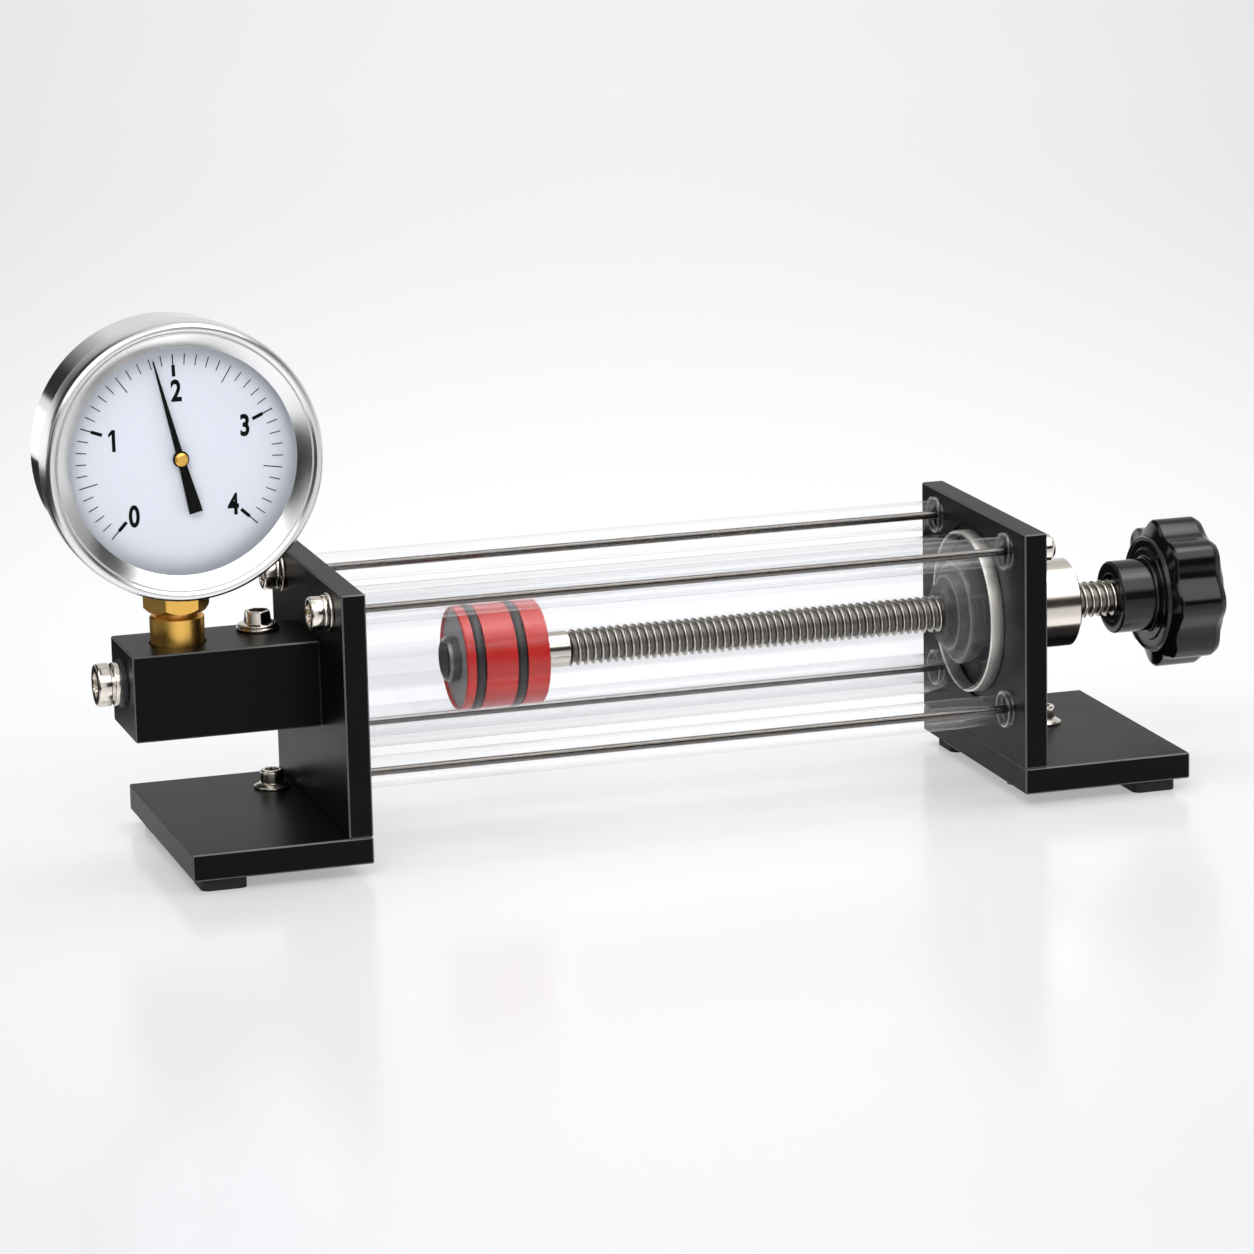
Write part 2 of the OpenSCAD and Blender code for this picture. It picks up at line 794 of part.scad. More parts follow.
module knob() {
    r = knob_d / 2;
    inner = screw_d / 2;
    color([0.04, 0.04, 0.042]) along_x(hub_x) difference() {
        union() {
            turned([
                [0, 0], [hub_d / 2 - 0.8, 0], [hub_d / 2, 0.8], [hub_d / 2, hub_l],
                [0, hub_l]
            ]);
            rod(knob_disc_d, knob_disc_l, hub_l - knob_disc_l);
            intersection() {
                translate([0, 0, hub_l]) linear_extrude(knob_t) polygon([
                    for (turn = [0:knob_step:360 - knob_step])
                        lobe_radius(turn) * [cos(turn), sin(turn)]
                ]);
                translate([0, 0, hub_l]) turned([
                    [0, 0], [knob_disc_d / 2, 0], [r - knob_round, knob_lean],
                    [r - knob_round * 0.3, knob_lean + knob_round * 0.3],
                    [r, knob_lean + knob_round], [r, knob_t - knob_dome],
                    [r - knob_dome * 0.25, knob_t - knob_dome * 0.4],
                    [r - knob_dome, knob_t], [0, knob_t]
                ]);
            }
        }
        rod(insert_d + 2 * fit_gap, insert_l + hub_recess_l + over, -over);
        rod(screw_d + 2 * fit_gap, screw_in_knob + 1);
        translate([0, 0, hub_l / 2 + 1]) rotate([0, 90, 0]) rod(grub_d + 2 * fit_gap, hub_d);
    }
}

module knob_insert() {
    color([0.7, 0.68, 0.64]) along_x(hub_x + hub_recess_l) difference() {
        tube(insert_d, screw_d + 2 * fit_gap, insert_l);
        translate([0, 0, hub_l / 2 + 1 - hub_recess_l]) rotate([0, 90, 0])
            rod(grub_d + 2 * fit_gap, hub_d);
    }
}

module knob_grub_screw() {
    start = screw_d / 2 + fit_gap;
    color([0.3, 0.3, 0.31]) along_x(hub_x + hub_l / 2 + 1) rotate([0, 90, 0]) difference() {
        rod(grub_d, hub_d / 2 - 0.8 - start, start);
        hexagon(2.5, 3, hub_d / 2 - 0.8 - 2);
    }
}

// A round sleeve in the block, which the gauge's stem screws into
module gauge_socket() {
    top = block_top + socket_h;
    color([0.76, 0.55, 0.22]) translate([gauge_x, 0, 0]) difference() {
        translate([0, 0, block_top - socket_sunk]) turned([
            [0, 0], [socket_d / 2, 0], [socket_d / 2, socket_sunk + socket_h - 0.7],
            [socket_d / 2 - 0.7, socket_sunk + socket_h], [0, socket_sunk + socket_h]
        ]);
        rod(stem_thread_d + 2 * fit_gap, stem_thread_l + over, top - stem_thread_l);
        rod(port_d, block_h, block_top - socket_sunk - over);
    }
}

module stem_seal() {
    color([0.55, 0.33, 0.16]) translate([gauge_x, 0, block_top + socket_h])
        tube(stem_neck_d - 1, stem_thread_d + 2 * fit_gap, stem_seal_t);
}

module bourdon_solid(play = 0) {
    w = bourdon_w + 2 * play;
    t = bourdon_t + 2 * play;
    flat = w - t;
    in_gauge(bourdon_at) rotate([180, 0, 0]) rotate([0, 0, bourdon_tip])
        rotate_extrude(angle = bourdon_sweep) translate([bourdon_r, 0]) {
            square([t, flat], center = true);
            for (side = [-1, 1]) translate([0, side * flat / 2]) circle(d = t, $fn = 24);
        }
}

// The stem below the case and the square socket inside it are one piece of brass
module gauge_stem() {
    neck_low = block_top + socket_h + stem_seal_t;
    hex_low = neck_low + stem_neck_h;
    hex_top = hex_low + stem_hex_h;
    inside_low = gauge_z - case_bore_r + 3;
    back = gauge_depth - case_wall;
    color([0.70, 0.50, 0.20]) difference() {
        union() {
            translate([gauge_x, 0, 0]) {
                rod(stem_thread_d, stem_thread_l + stem_seal_t, neck_low - stem_thread_l
                    - stem_seal_t + 0.5);
                rod(stem_neck_d, stem_neck_h, neck_low);
                intersection() {
                    hexagon(stem_hex_af, stem_hex_h, hex_low);
                    translate([0, 0, hex_low]) turned([
                        [0, 0], [stem_hex_af / 2, 0], [stem_hex_af / 2 + 1.5, 1.5],
                        [stem_hex_af / 2 + 1.5, stem_hex_h], [0, stem_hex_h]
                    ]);
                }
                rod(stem_neck_d - 2, inside_low - hex_top + 2, hex_top);
            }
            translate([gauge_x - socket_block_w / 2, gauge_y + block_front, inside_low])
                cube([socket_block_w, back - block_front - 0.05,
                    gauge_z + socket_block_top - inside_low]);
        }
        translate([gauge_x, 0, 0]) rod(port_d - 1, gauge_z - neck_low, neck_low - stem_thread_l - 1);
        bourdon_solid(fit_gap);
        at_case_screws() rod(3 + 2 * fit_gap, 7 + over, -over);
        at_movement_screws() rod(2 + 2 * fit_gap, 5 + over, -over);
    }
}

// Drum with a closed back and a hole for the stem
module gauge_case() {
    color([0.72, 0.72, 0.73]) difference() {
        in_gauge(case_front) turned([
            [0, gauge_depth - case_front], [case_r - 3, gauge_depth - case_front],
            [case_r - 0.9, gauge_depth - case_front - 0.9],
            [case_r, gauge_depth - case_front - 3], [case_r, 0], [case_bore_r, 0],
            [case_bore_r, gauge_depth - case_front - case_wall - 2],
            [case_bore_r - 2, gauge_depth - case_front - case_wall],
            [0, gauge_depth - case_front - case_wall]
        ]);
        translate([gauge_x, 0, gauge_z - case_r - over])
            rod(stem_neck_d - 2 + 2 * fit_gap, case_wall + 4 + over);
        at_case_screws() rod(3 + 4 * fit_gap, 2 * case_wall + over, -case_wall - over);
    }
}

module at_case_screws() {
    for (z = [-case_screw_top, -case_screw_low])
        in_gauge(gauge_depth - case_wall, 0, z) rotate([180, 0, 0]) children();
}

case_screw_top = 36;
case_screw_low = 42.5;

module case_screws() {
    color([0.6, 0.6, 0.61]) at_case_screws() {
        rod(3, 6 + case_wall, -case_wall);
        translate([0, 0, -case_wall - 1.6]) turned([
            [0, 0], [1.8, 0], [2.8, 0.9], [2.8, 1.6], [0, 1.6]
        ]);
    }
}

// The rim rolls over to a ridge, and a flare runs down from it to the window
module gauge_bezel() {
    r = bezel_d / 2;
    view_r = dial_view_d / 2;
    color([0.86, 0.86, 0.87]) in_gauge(0) turned([
        [view_r, lip_depth - 1], [view_r + 1.2, 3.2], [r - 5.6, 1.9], [r - 4.6, 1.6],
        [r - 4.2, 0.9], [r - 3.4, 0.3], [r - 2.6, 0], [r - 1.6, 0.2], [r - 0.6, 1.1],
        [r - 0.1, 2.4], [r, 4], [r, bezel_skirt - 1], [r - 0.8, bezel_skirt],
        [case_r + fit_gap, bezel_skirt], [case_r + fit_gap, lip_depth],
        [view_r, lip_depth]
    ]);
}

module gauge_window() {
    color([0.85, 0.92, 0.95, 0.25]) in_gauge(lip_depth) rod(2 * case_r - 0.4, window_t);
}

module window_gasket() {
    color([0.02, 0.02, 0.02]) in_gauge(lip_depth + window_t)
        tube(2 * case_r - 0.4, dial_view_d + 5, window_gasket_t);
}

module gauge_dial() {
    color([0.93, 0.95, 0.98]) in_gauge(dial_front)
        tube(2 * (case_bore_r - fit_gap), 5, dial_t);
}

module dial_spacers() {
    color([0.7, 0.52, 0.22]) for (at = spacer_places)
        in_gauge(dial_front + dial_t, at.x, at.y)
            rod(spacer_d, front_plate_at - dial_front - dial_t);
}

module movement_plate(at) {
    color([0.76, 0.60, 0.28]) difference() {
        dial_plate(at, plate_t) {
            circle(r = plate_top_r);
            translate([0, pivot_z]) circle(r = plate_low_r);
            translate([-plate_top_r, pivot_z]) square([2 * plate_top_r, -pivot_z]);
        }
        in_gauge(at - over) rod(arbor_d + 2 * run_gap, plate_t + 2 * over);
        in_gauge(at - over, 0, pivot_z) rod(sector_arbor_d + 2 * run_gap, plate_t + 2 * over);
        if (at == back_plate_at) at_movement_screws()
            rod(2 + 4 * fit_gap, plate_t + 2 * over, -plate_t - over);
    }
}

module movement_front_plate() {
    movement_plate(front_plate_at);
}

module movement_back_plate() {
    movement_plate(back_plate_at);
}

module movement_pillars() {
    color([0.7, 0.52, 0.22]) for (at = pillar_places)
        in_gauge(front_plate_at + plate_t, at.x, at.y)
            rod(pillar_d, back_plate_at - front_plate_at - plate_t);
}

module at_movement_screws() {
    for (x = [-5, 5]) in_gauge(block_front, x, pivot_z - 7.5) children();
}

module movement_screws() {
    color([0.55, 0.55, 0.56]) at_movement_screws() {
        rod(2, 4 + plate_t, -plate_t);
        rod(3.6, 1.2, -plate_t - 1.2);
    }
}

module bourdon_tube() {
    color([0.74, 0.58, 0.26]) bourdon_solid();
}

lug_t = 2.6;

// Soldered to the free end of the tube, it faces the link's eye
module tip_lug() {
    x = bourdon_r * cos(bourdon_tip);
    z = bourdon_r * sin(bourdon_tip);
    color([0.66, 0.48, 0.20]) in_gauge(bourdon_at - bourdon_w / 2 - lug_t, x, z)
        rod(4, lug_t);
}

// Involute teeth: the half angle of a tooth at a radius
function involute(base_r, r) = r <= base_r ? 0
    : tan(acos(base_r / r)) * 180 / PI - acos(base_r / r);
function half_tooth(teeth, r) =
    let (pitch_r = gear_module * teeth / 2, base_r = pitch_r * cos(pressure_angle))
    90 / teeth - tooth_play / 2 / pitch_r * 180 / PI
        + involute(base_r, pitch_r) - involute(base_r, r);

// A tooth from its root to its tip and back, about an angle
function tooth(teeth, at, root_r, tip_r) = let (steps = 4) concat(
    [for (i = [0:steps]) let (r = root_r + (tip_r - root_r) * i / steps,
        turn = at - half_tooth(teeth, r)) r * [cos(turn), sin(turn)]],
    [for (i = [steps:-1:0]) let (r = root_r + (tip_r - root_r) * i / steps,
        turn = at + half_tooth(teeth, r)) r * [cos(turn), sin(turn)]]
);

addendum = 0.85 * gear_module;
dedendum = 1.2 * gear_module;

module pinion_arbor() {
    color([0.8, 0.78, 0.72]) {
        in_gauge(needle_front + needle_t)
            rod(arbor_d, back_plate_at + plate_t - needle_front - needle_t - 0.2);
        dial_plate(pinion_at, pinion_t) polygon([
            for (i = [0:pinion_teeth - 1]) each tooth(
                pinion_teeth, -90 + (i + 0.5) * 360 / pinion_teeth,
                pinion_r - dedendum, pinion_r + addendum)
        ]);
    }
}

// A toothed fan above the pivot, and below it the tail that the link pulls
module sector_gear() {
    pitch = 360 / sector_teeth;
    root_r = sector_r - dedendum;
    spread = (sector_reach + 0.6) * pitch;
    color([0.74, 0.58, 0.26]) {
        difference() {
            dial_plate(sector_at, sector_t) translate([0, pivot_z]) {
                polygon(concat(
                    [[0, 0]],
                    [root_r * [cos(90 - spread), sin(90 - spread)]],
                    [for (i = [-sector_reach:sector_reach])
                        each tooth(sector_teeth, 90 + i * pitch, root_r, sector_r + addendum)],
                    [root_r * [cos(90 + spread), sin(90 + spread)]]
                ));
                circle(r = 4);
                rotate(tail_turn) translate([0, -2]) square([tail_l, 4]);
                rotate(tail_turn) translate([tail_l, 0]) circle(r = 2, $fn = 24);
            }
            dial_plate(sector_at - over, sector_t + 2 * over) translate([0, pivot_z]) difference() {
                polygon([
                    [0, 9], 19.5 * [cos(90 - spread * 0.62), sin(90 - spread * 0.62)],
                    [0, 20.2], 19.5 * [cos(90 + spread * 0.62), sin(90 + spread * 0.62)]
                ]);
                circle(r = 6);
            }
        }
        in_gauge(front_plate_at + 0.2, 0, pivot_z)
            rod(sector_arbor_d, back_plate_at + plate_t - front_plate_at - 0.4);
        in_gauge(sector_at + sector_t, tail_l * cos(tail_turn), pivot_z + tail_l * sin(tail_turn))
            rod(1.2, link_at + link_t + 0.3 - sector_at - sector_t);
    }
}

// Its lower eye turns on the tail's pin, and its upper end reaches the lug of the tube
module link_rod() {
    low = [tail_l * cos(tail_turn), pivot_z + tail_l * sin(tail_turn)];
    high = bourdon_r * [cos(bourdon_tip), sin(bourdon_tip)];
    run = high - low;
    turn = atan2(run.y, run.x);
    color([0.76, 0.60, 0.28]) difference() {
        dial_plate(link_at, link_t) translate(low) rotate(turn) {
            circle(r = 1.8, $fn = 24);
            translate([0, -0.9]) square([norm(run), 1.8]);
            translate([norm(run), 0]) circle(r = 1.8, $fn = 24);
        }
        in_gauge(link_at - over, low.x, low.y) rod(1.2 + 2 * run_gap, link_t + 2 * over);
    }
}

// A flat spiral that takes up the play of the teeth
module hairspring() {
    turns = 3.5;
    steps = 20;
    inner_r = 1.1;
    pitch = 1.1;
    width = 0.35;
    color([0.5, 0.5, 0.52]) {
        dial_plate(spring_at, spring_t) polygon(concat(
            [for (i = [0:turns * steps]) let (turn = i * 360 / steps,
                r = inner_r + pitch * i / steps) r * [cos(turn), sin(turn)]],
            [for (i = [turns * steps:-1:0]) let (turn = i * 360 / steps,
                r = inner_r + width + pitch * i / steps) r * [cos(turn), sin(turn)]]
        ));
        in_gauge(spring_at) tube(2 * inner_r + 0.5, arbor_d + 2 * fit_gap, spring_t);
    }
}

// Pointing straight up before it is turned to its reading
module needle() {
    color([0.02, 0.02, 0.02]) difference() {
        union() {
            dial_plate(needle_front, needle_t) rotate(-needle_angle) polygon([
                [-1.3, 0], [-0.25, needle_tip_l - 0.6], [0, needle_tip_l],
                [0.25, needle_tip_l - 0.6], [1.3, 0], [2.5, -needle_tail_l],
                [-2.5, -needle_tail_l]
            ]);
            in_gauge(needle_front) rod(6, needle_t);
        }
        in_gauge(needle_front - over) rod(2.4 + 2 * fit_gap, needle_t + 2 * over);
    }
}

// Brass cap and boss that hold the needle on its arbor
module needle_hub() {
    cap_l = needle_front - case_front + 0.9;
    color([0.76, 0.56, 0.24]) in_gauge(needle_front - cap_l) {
        turned([
            [0, 0], [1.6, 0], [2.4, 0.5], [2.4, cap_l], [1.2, cap_l], [1.2, cap_l + needle_t],
            [0, cap_l + needle_t]
        ]);
    }
}

left_upright();
right_upright();
left_base();
right_base();
feet();
upright_screws();
base_screws();
manifold_block();
block_screws();
end_plug();
plug_seal();
bleed_screw();
bleed_washer();
cylinder_tube();
tube_rings();
tube_gaskets();
gas_end_cap();
gas_cap_seal();
guide_cap();
upper_tie_bolts();
lower_tie_studs();
tie_spring_washers();
tie_flat_washers();
cap_nuts();
rod_sleeves();
sleeve_rings();
piston_body();
piston_seals();
piston_face_plate();
piston_boss();
swivel_gland();
lead_screw();
screw_nut();
knob();
knob_insert();
knob_grub_screw();
gauge_socket();
stem_seal();
gauge_stem();
gauge_case();
case_screws();
gauge_bezel();
gauge_window();
window_gasket();
gauge_dial();
dial_spacers();
movement_front_plate();
movement_back_plate();
movement_pillars();
movement_screws();
bourdon_tube();
tip_lug();
sector_gear();
link_rod();
pinion_arbor();
hairspring();
needle();
needle_hub();
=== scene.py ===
"""Looks of a gas-law bench apparatus: screw-driven piston, clear cylinder and dial gauge.

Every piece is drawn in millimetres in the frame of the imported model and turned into
metres when it is finished.
"""

from math import cos, pi, radians, sin, tan

import bmesh
import bpy
from bpy.props import FloatProperty, FloatVectorProperty, IntProperty, PointerProperty
from mathutils import Matrix, Vector


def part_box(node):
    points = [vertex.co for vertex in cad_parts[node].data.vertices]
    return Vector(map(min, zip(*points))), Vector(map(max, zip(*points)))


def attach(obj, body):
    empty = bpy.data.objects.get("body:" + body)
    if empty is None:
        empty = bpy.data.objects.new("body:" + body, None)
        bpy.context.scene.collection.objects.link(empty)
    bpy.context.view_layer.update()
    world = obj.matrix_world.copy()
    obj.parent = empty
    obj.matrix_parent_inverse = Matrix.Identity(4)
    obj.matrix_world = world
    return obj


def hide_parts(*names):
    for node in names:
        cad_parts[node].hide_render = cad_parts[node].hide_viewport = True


bl_info = {
    "name": "Gas law apparatus",
    "version": (1, 0, 0),
    "blender": (4, 5, 0),
    "location": "3D View > Sidebar > Apparatus",
    "description": "Screw-driven piston in a clear cylinder, with its dial gauge",
    "category": "Object",
}

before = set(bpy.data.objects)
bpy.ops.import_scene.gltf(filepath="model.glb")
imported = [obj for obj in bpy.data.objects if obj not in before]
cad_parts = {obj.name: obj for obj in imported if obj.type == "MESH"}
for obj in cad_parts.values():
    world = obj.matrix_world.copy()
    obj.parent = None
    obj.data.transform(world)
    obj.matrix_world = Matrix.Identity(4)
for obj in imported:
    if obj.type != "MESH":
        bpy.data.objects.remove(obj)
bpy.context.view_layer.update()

MM = 0.001
# Steps round a turned piece, and round a large one
ROUND = 96
FINE = 160
# Angle between two faces from which their edge stays sharp
SHARP = radians(32)
# Gap between two pieces that slip over each other, and height of the dial's ink
CLEARANCE = 0.1
INK = 0.06
# Lobes of the recess in a screw's head
RECESS_LOBES = 6


# ---------------------------------------------------------------- places

def low(node):
    """A node's lowest corner in millimetres."""
    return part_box(node)[0] / MM


def high(node):
    """A node's highest corner in millimetres."""
    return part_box(node)[1] / MM


def middle(node):
    return (low(node) + high(node)) / 2


AXIS_Z = middle("cylinder_tube").z
LEFT_FACE = high("left_upright").x
RIGHT_FACE = low("right_upright").x
RIGHT_OUTER = high("right_upright").x
BLOCK_TOP = high("manifold_block").z
BASE_TOP = high("left_base").z
GAUGE_X = middle("gauge_bezel").x
GAUGE_Z = middle("gauge_bezel").z
GAUGE_FRONT = low("gauge_bezel").y
ROD_D = high("lower_tie_studs").z - low("lower_tie_studs").z
ROD_Y = high("lower_tie_studs").y - ROD_D / 2
UPPER_Z = middle("upper_tie_bolts").z
LOWER_Z = middle("lower_tie_studs").z


def along_x(x, y=0.0, z=None):
    """The place of a piece drawn along +Z that points along +X."""
    at = Vector((x, y, AXIS_Z if z is None else z))
    return Matrix.Translation(at) @ Matrix.Rotation(pi / 2, 4, "Y")


def upright_at(x, y, z):
    return Matrix.Translation((x, y, z))


def on_dial(depth):
    """The place of a piece drawn as the dial is read: X right, Y up, Z to the reader."""
    at = Vector((GAUGE_X, GAUGE_FRONT + depth, GAUGE_Z))
    return Matrix.Translation(at) @ Matrix.Rotation(pi / 2, 4, "X")


# ---------------------------------------------------------------- shader maths

class Wave:
    """A shader socket that the usual operators work on."""

    def __init__(self, finish, socket):
        self.finish = finish
        self.socket = socket

    def _math(self, operation, *values):
        return self.finish.math(operation, *values)

    def __add__(self, other):
        return self._math("ADD", self, other)

    def __radd__(self, other):
        return self._math("ADD", other, self)

    def __sub__(self, other):
        return self._math("SUBTRACT", self, other)

    def __rsub__(self, other):
        return self._math("SUBTRACT", other, self)

    def __mul__(self, other):
        return self._math("MULTIPLY", self, other)

    def __rmul__(self, other):
        return self._math("MULTIPLY", other, self)

    def __truediv__(self, other):
        return self._math("DIVIDE", self, other)

    def clamped(self):
        return self.finish.math("ADD", self, 0.0, use_clamp=True)

    def over(self, edge, width):
        """0 below edge and 1 above it, soft over the width."""
        return ((self - (edge - width / 2)) / width).clamped()


class Finish:
    """A material in the making, with one method for every kind of node."""

    def __init__(self, name):
        self.material = bpy.data.materials.new(name)
        self.material.use_nodes = True
        self.tree = self.material.node_tree
        self.tree.nodes.clear()

    def node(self, kind, settings=None, **inputs):
        """A node of this kind with its settings, its sockets set or linked by name."""
        node = self.tree.nodes.new(kind)
        for key, value in (settings or {}).items():
            if key == "stops":
                self._ramp(node, value)
            else:
                setattr(node, key, value)
        for key, value in inputs.items():
            self.feed(node, key, value)
        return node

    def _ramp(self, node, stops):
        elements = node.color_ramp.elements
        while len(elements) < len(stops):
            elements.new(1.0)
        for element, (place, colour) in zip(elements, stops):
            element.position = place
            element.color = (*colour, 1.0)

    def feed(self, node, key, value):
        socket = node.inputs[int(key[1:])] if key[0] == "i" and key[1:].isdigit() else (
            node.inputs[key.replace("_", " ")])
        if isinstance(value, Wave):
            self.tree.links.new(value.socket, socket)
        elif isinstance(value, bpy.types.NodeSocket):
            self.tree.links.new(value, socket)
        elif isinstance(value, tuple) and len(value) == 3 and socket.type == "RGBA":
            socket.default_value = (*value, 1.0)
        else:
            socket.default_value = value

    def math(self, operation, first, second=0.0, use_clamp=False):
        node = self.node("ShaderNodeMath", {"operation": operation, "use_clamp": use_clamp},
                         i0=first, i1=second)
        return Wave(self, node.outputs[0])

    def place(self, centre=(0.0, 0.0, 0.0)):
        """Object coordinates in millimetres from a centre."""
        coordinates = self.node("ShaderNodeTexCoord").outputs["Object"]
        moved = self.node("ShaderNodeVectorMath", {"operation": "SUBTRACT"},
                          i0=coordinates, i1=tuple(c * MM for c in centre))
        return self.stretched(moved.outputs[0], (1 / MM,) * 3)

    def axes(self, vector):
        split = self.node("ShaderNodeSeparateXYZ", i0=vector)
        return [Wave(self, output) for output in split.outputs]

    def stretched(self, vector, scale):
        return self.node("ShaderNodeMapping", {"vector_type": "POINT"},
                         Vector=vector, Scale=scale).outputs[0]

    def noise(self, vector, scale, detail=2.0, roughness=0.5):
        node = self.node("ShaderNodeTexNoise", Vector=vector, Scale=scale, Detail=detail,
                         Roughness=roughness)
        return Wave(self, node.outputs["Fac"])

    def mixed(self, factor, first, second):
        """A colour between two, by a factor."""
        node = self.node("ShaderNodeMix", {"data_type": "RGBA"}, i0=factor, i6=first, i7=second)
        return node.outputs[2]

    def slab_edges(self, node, width):
        """1 on the bevels of a slab, where two of its faces are close, and 0 elsewhere."""
        corner, far = low(node), high(node)
        x, y, z = [self.math("MINIMUM", at - corner[i], far[i] - at)
                   for i, at in enumerate(self.axes(self.place()))]
        nearest, other = self.math("MINIMUM", x, y), self.math("MAXIMUM", x, y)
        second = self.math("MAXIMUM", nearest, self.math("MINIMUM", other, z))
        return 1.0 - second.over(width, 0.12)

    def radius(self, first, second):
        return self.math("SQRT", first * first + second * second)

    def grazing(self, power):
        """0 where a surface faces the eye, 1 at its outline."""
        facing = self.node("ShaderNodeLayerWeight", Blend=0.5).outputs["Facing"]
        return self.math("POWER", facing, power)

    def ramp(self, value, stops):
        """A grey tone that follows a value from 0 to 1 through its stops."""
        return self.node("ShaderNodeValToRGB", {"stops": tuple(
            (at, (tone,) * 3) for at, tone in stops)}, Fac=value).outputs[0]

    def bump(self, height, strength, distance):
        return self.node("ShaderNodeBump", Strength=strength, Distance=distance * MM,
                         Height=height).outputs[0]

    def surface(self, **inputs):
        """A Principled shader with these inputs."""
        return self.node("ShaderNodeBsdfPrincipled", **inputs).outputs[0]

    def through(self, colour):
        """What is behind the surface, in this tint."""
        return self.node("ShaderNodeBsdfTransparent", Color=colour).outputs[0]

    def mirror(self, roughness):
        return self.node("ShaderNodeBsdfGlossy", Color=(1.0, 1.0, 1.0),
                         Roughness=roughness).outputs[0]

    def blend(self, factor, first, second):
        """A shader between two, by a factor."""
        return self.node("ShaderNodeMixShader", i0=factor, i1=first, i2=second).outputs[0]

    def done(self, shader):
        self.node("ShaderNodeOutputMaterial", Surface=shader)
        return self.material


# ---------------------------------------------------------------- finishes

def shades(tone, spread):
    """A tone a little darker and a little lighter."""
    return [tuple(min(1.0, (1 + way * spread) * t) for t in tone) for way in (-1, 1)]


def black_enamel(node, tone, worn):
    """Satin black coat with a fine powder grain, and a painted edge highlight: a lighter colour
    along a slab's bevels, uneven by noise, under a real gloss coat there.
    """
    f = Finish("black_enamel_" + node)
    at = f.place()
    grain = f.noise(at, 1.6, 3.0, 0.6)
    cloud = f.noise(at, 0.035, 2.0)
    # Painted edge highlight: the colour turns lighter on the bevels, standing in for light caught
    # by the edges
    painted_edge_highlight = f.slab_edges(node, 0.55) * (0.45 + 0.7 * f.noise(at, 0.05, 3.0, 0.6))
    coat = f.mixed(cloud, tuple(0.8 * t for t in tone), tuple(1.25 * t for t in tone))
    colour = f.mixed(painted_edge_highlight, coat, worn)
    return f.done(f.surface(Base_Color=colour, Roughness=0.25 + 0.12 * grain + 0.06 * cloud,
                            Specular_IOR_Level=0.09, Coat_Roughness=0.22,
                            Coat_Weight=painted_edge_highlight * 0.5, Normal=f.bump(grain, 0.12, 0.05)))


def moulded(name, tone, rough, grain_size=0.8, depth=0.02, shine=0.5, spread=0.12):
    """Moulded plastic or rubber: a faint orange peel and a slightly uneven gloss."""
    f = Finish(name)
    at = f.place()
    peel = f.noise(at, grain_size, 2.0)
    cloud = f.noise(at, 0.06, 3.0, 0.6)
    colour = f.mixed(cloud, *shades(tone, spread))
    return f.done(f.surface(Base_Color=colour, Roughness=rough - 0.03 + 0.06 * cloud,
                            Specular_IOR_Level=shine, Normal=f.bump(peel, 0.12, depth)))


def turned_metal(name, tone, rough, axis, centre, lines=5.0, depth=0.006, spread=0.06):
    """Metal turned on a lathe: fine rings round an axis of X, Y or Z."""
    f = Finish(name)
    x, y, z = f.axes(f.place(centre))
    around = {"X": (y, z, x), "Y": (x, z, y), "Z": (x, y, z)}[axis]
    rings = f.node("ShaderNodeCombineXYZ", i0=f.radius(around[0], around[1]) * lines,
                   i1=around[2] * lines, i2=0.0)
    line = f.noise(rings.outputs[0], 1.0, 2.0)
    cloud = f.noise(f.place(centre), 0.12, 3.0, 0.6)
    colour = f.mixed(cloud, *shades(tone, spread))
    return f.done(f.surface(Base_Color=colour, Metallic=1.0,
                            Roughness=rough - 0.04 + 0.08 * line + 0.04 * cloud,
                            Normal=f.bump(line, 0.08, depth)))


def plated(name, tone, rough, spread=0.05):
    """Plated steel: smooth, with faint clouds and very fine scratches."""
    f = Finish(name)
    at = f.place()
    cloud = f.noise(at, 0.25, 3.0, 0.6)
    scratch = f.noise(f.stretched(at, (0.3, 3.0, 3.0)), 1.2, 3.0, 0.7)
    colour = f.mixed(cloud, *shades(tone, spread))
    return f.done(f.surface(Base_Color=colour, Metallic=1.0,
                            Roughness=rough - 0.03 + 0.06 * cloud + 0.04 * scratch,
                            Normal=f.bump(scratch, 0.05, 0.004)))


def clear(name, tint, gloss, least, edge, power=4.0, outline=0.0):
    """Clear acrylic or glass: what is behind it, under a gloss that grows to the edges, with
    painted shade towards the outline that stands in for the dark edges of refraction.
    """
    f = Finish(name)
    # Painted shade: a darker see-through tint at grazing angles, by the outline factor
    body = f.blend(f.grazing(9.0) * outline, f.through(tint), f.through((0.66, 0.665, 0.675)))
    return f.done(f.blend(f.grazing(power) * edge + least, body, f.mirror(gloss)))


def smoked(name, rings, body):
    """Smoked acrylic, turned in steps: grey rings round the X axis that let some light by, with
    painted highlights as narrow pale rings.
    """
    f = Finish(name)
    _, y, z = f.axes(f.place((0, 0, AXIS_Z)))
    tone = f.ramp(f.radius(y, z) / CAP_REACH, rings)
    grey = f.surface(Base_Color=tone, Roughness=0.22, Specular_IOR_Level=0.6)
    return f.done(f.blend(f.grazing(3.0) * 0.3 + body, f.through((0.85, 0.85, 0.86)), grey))


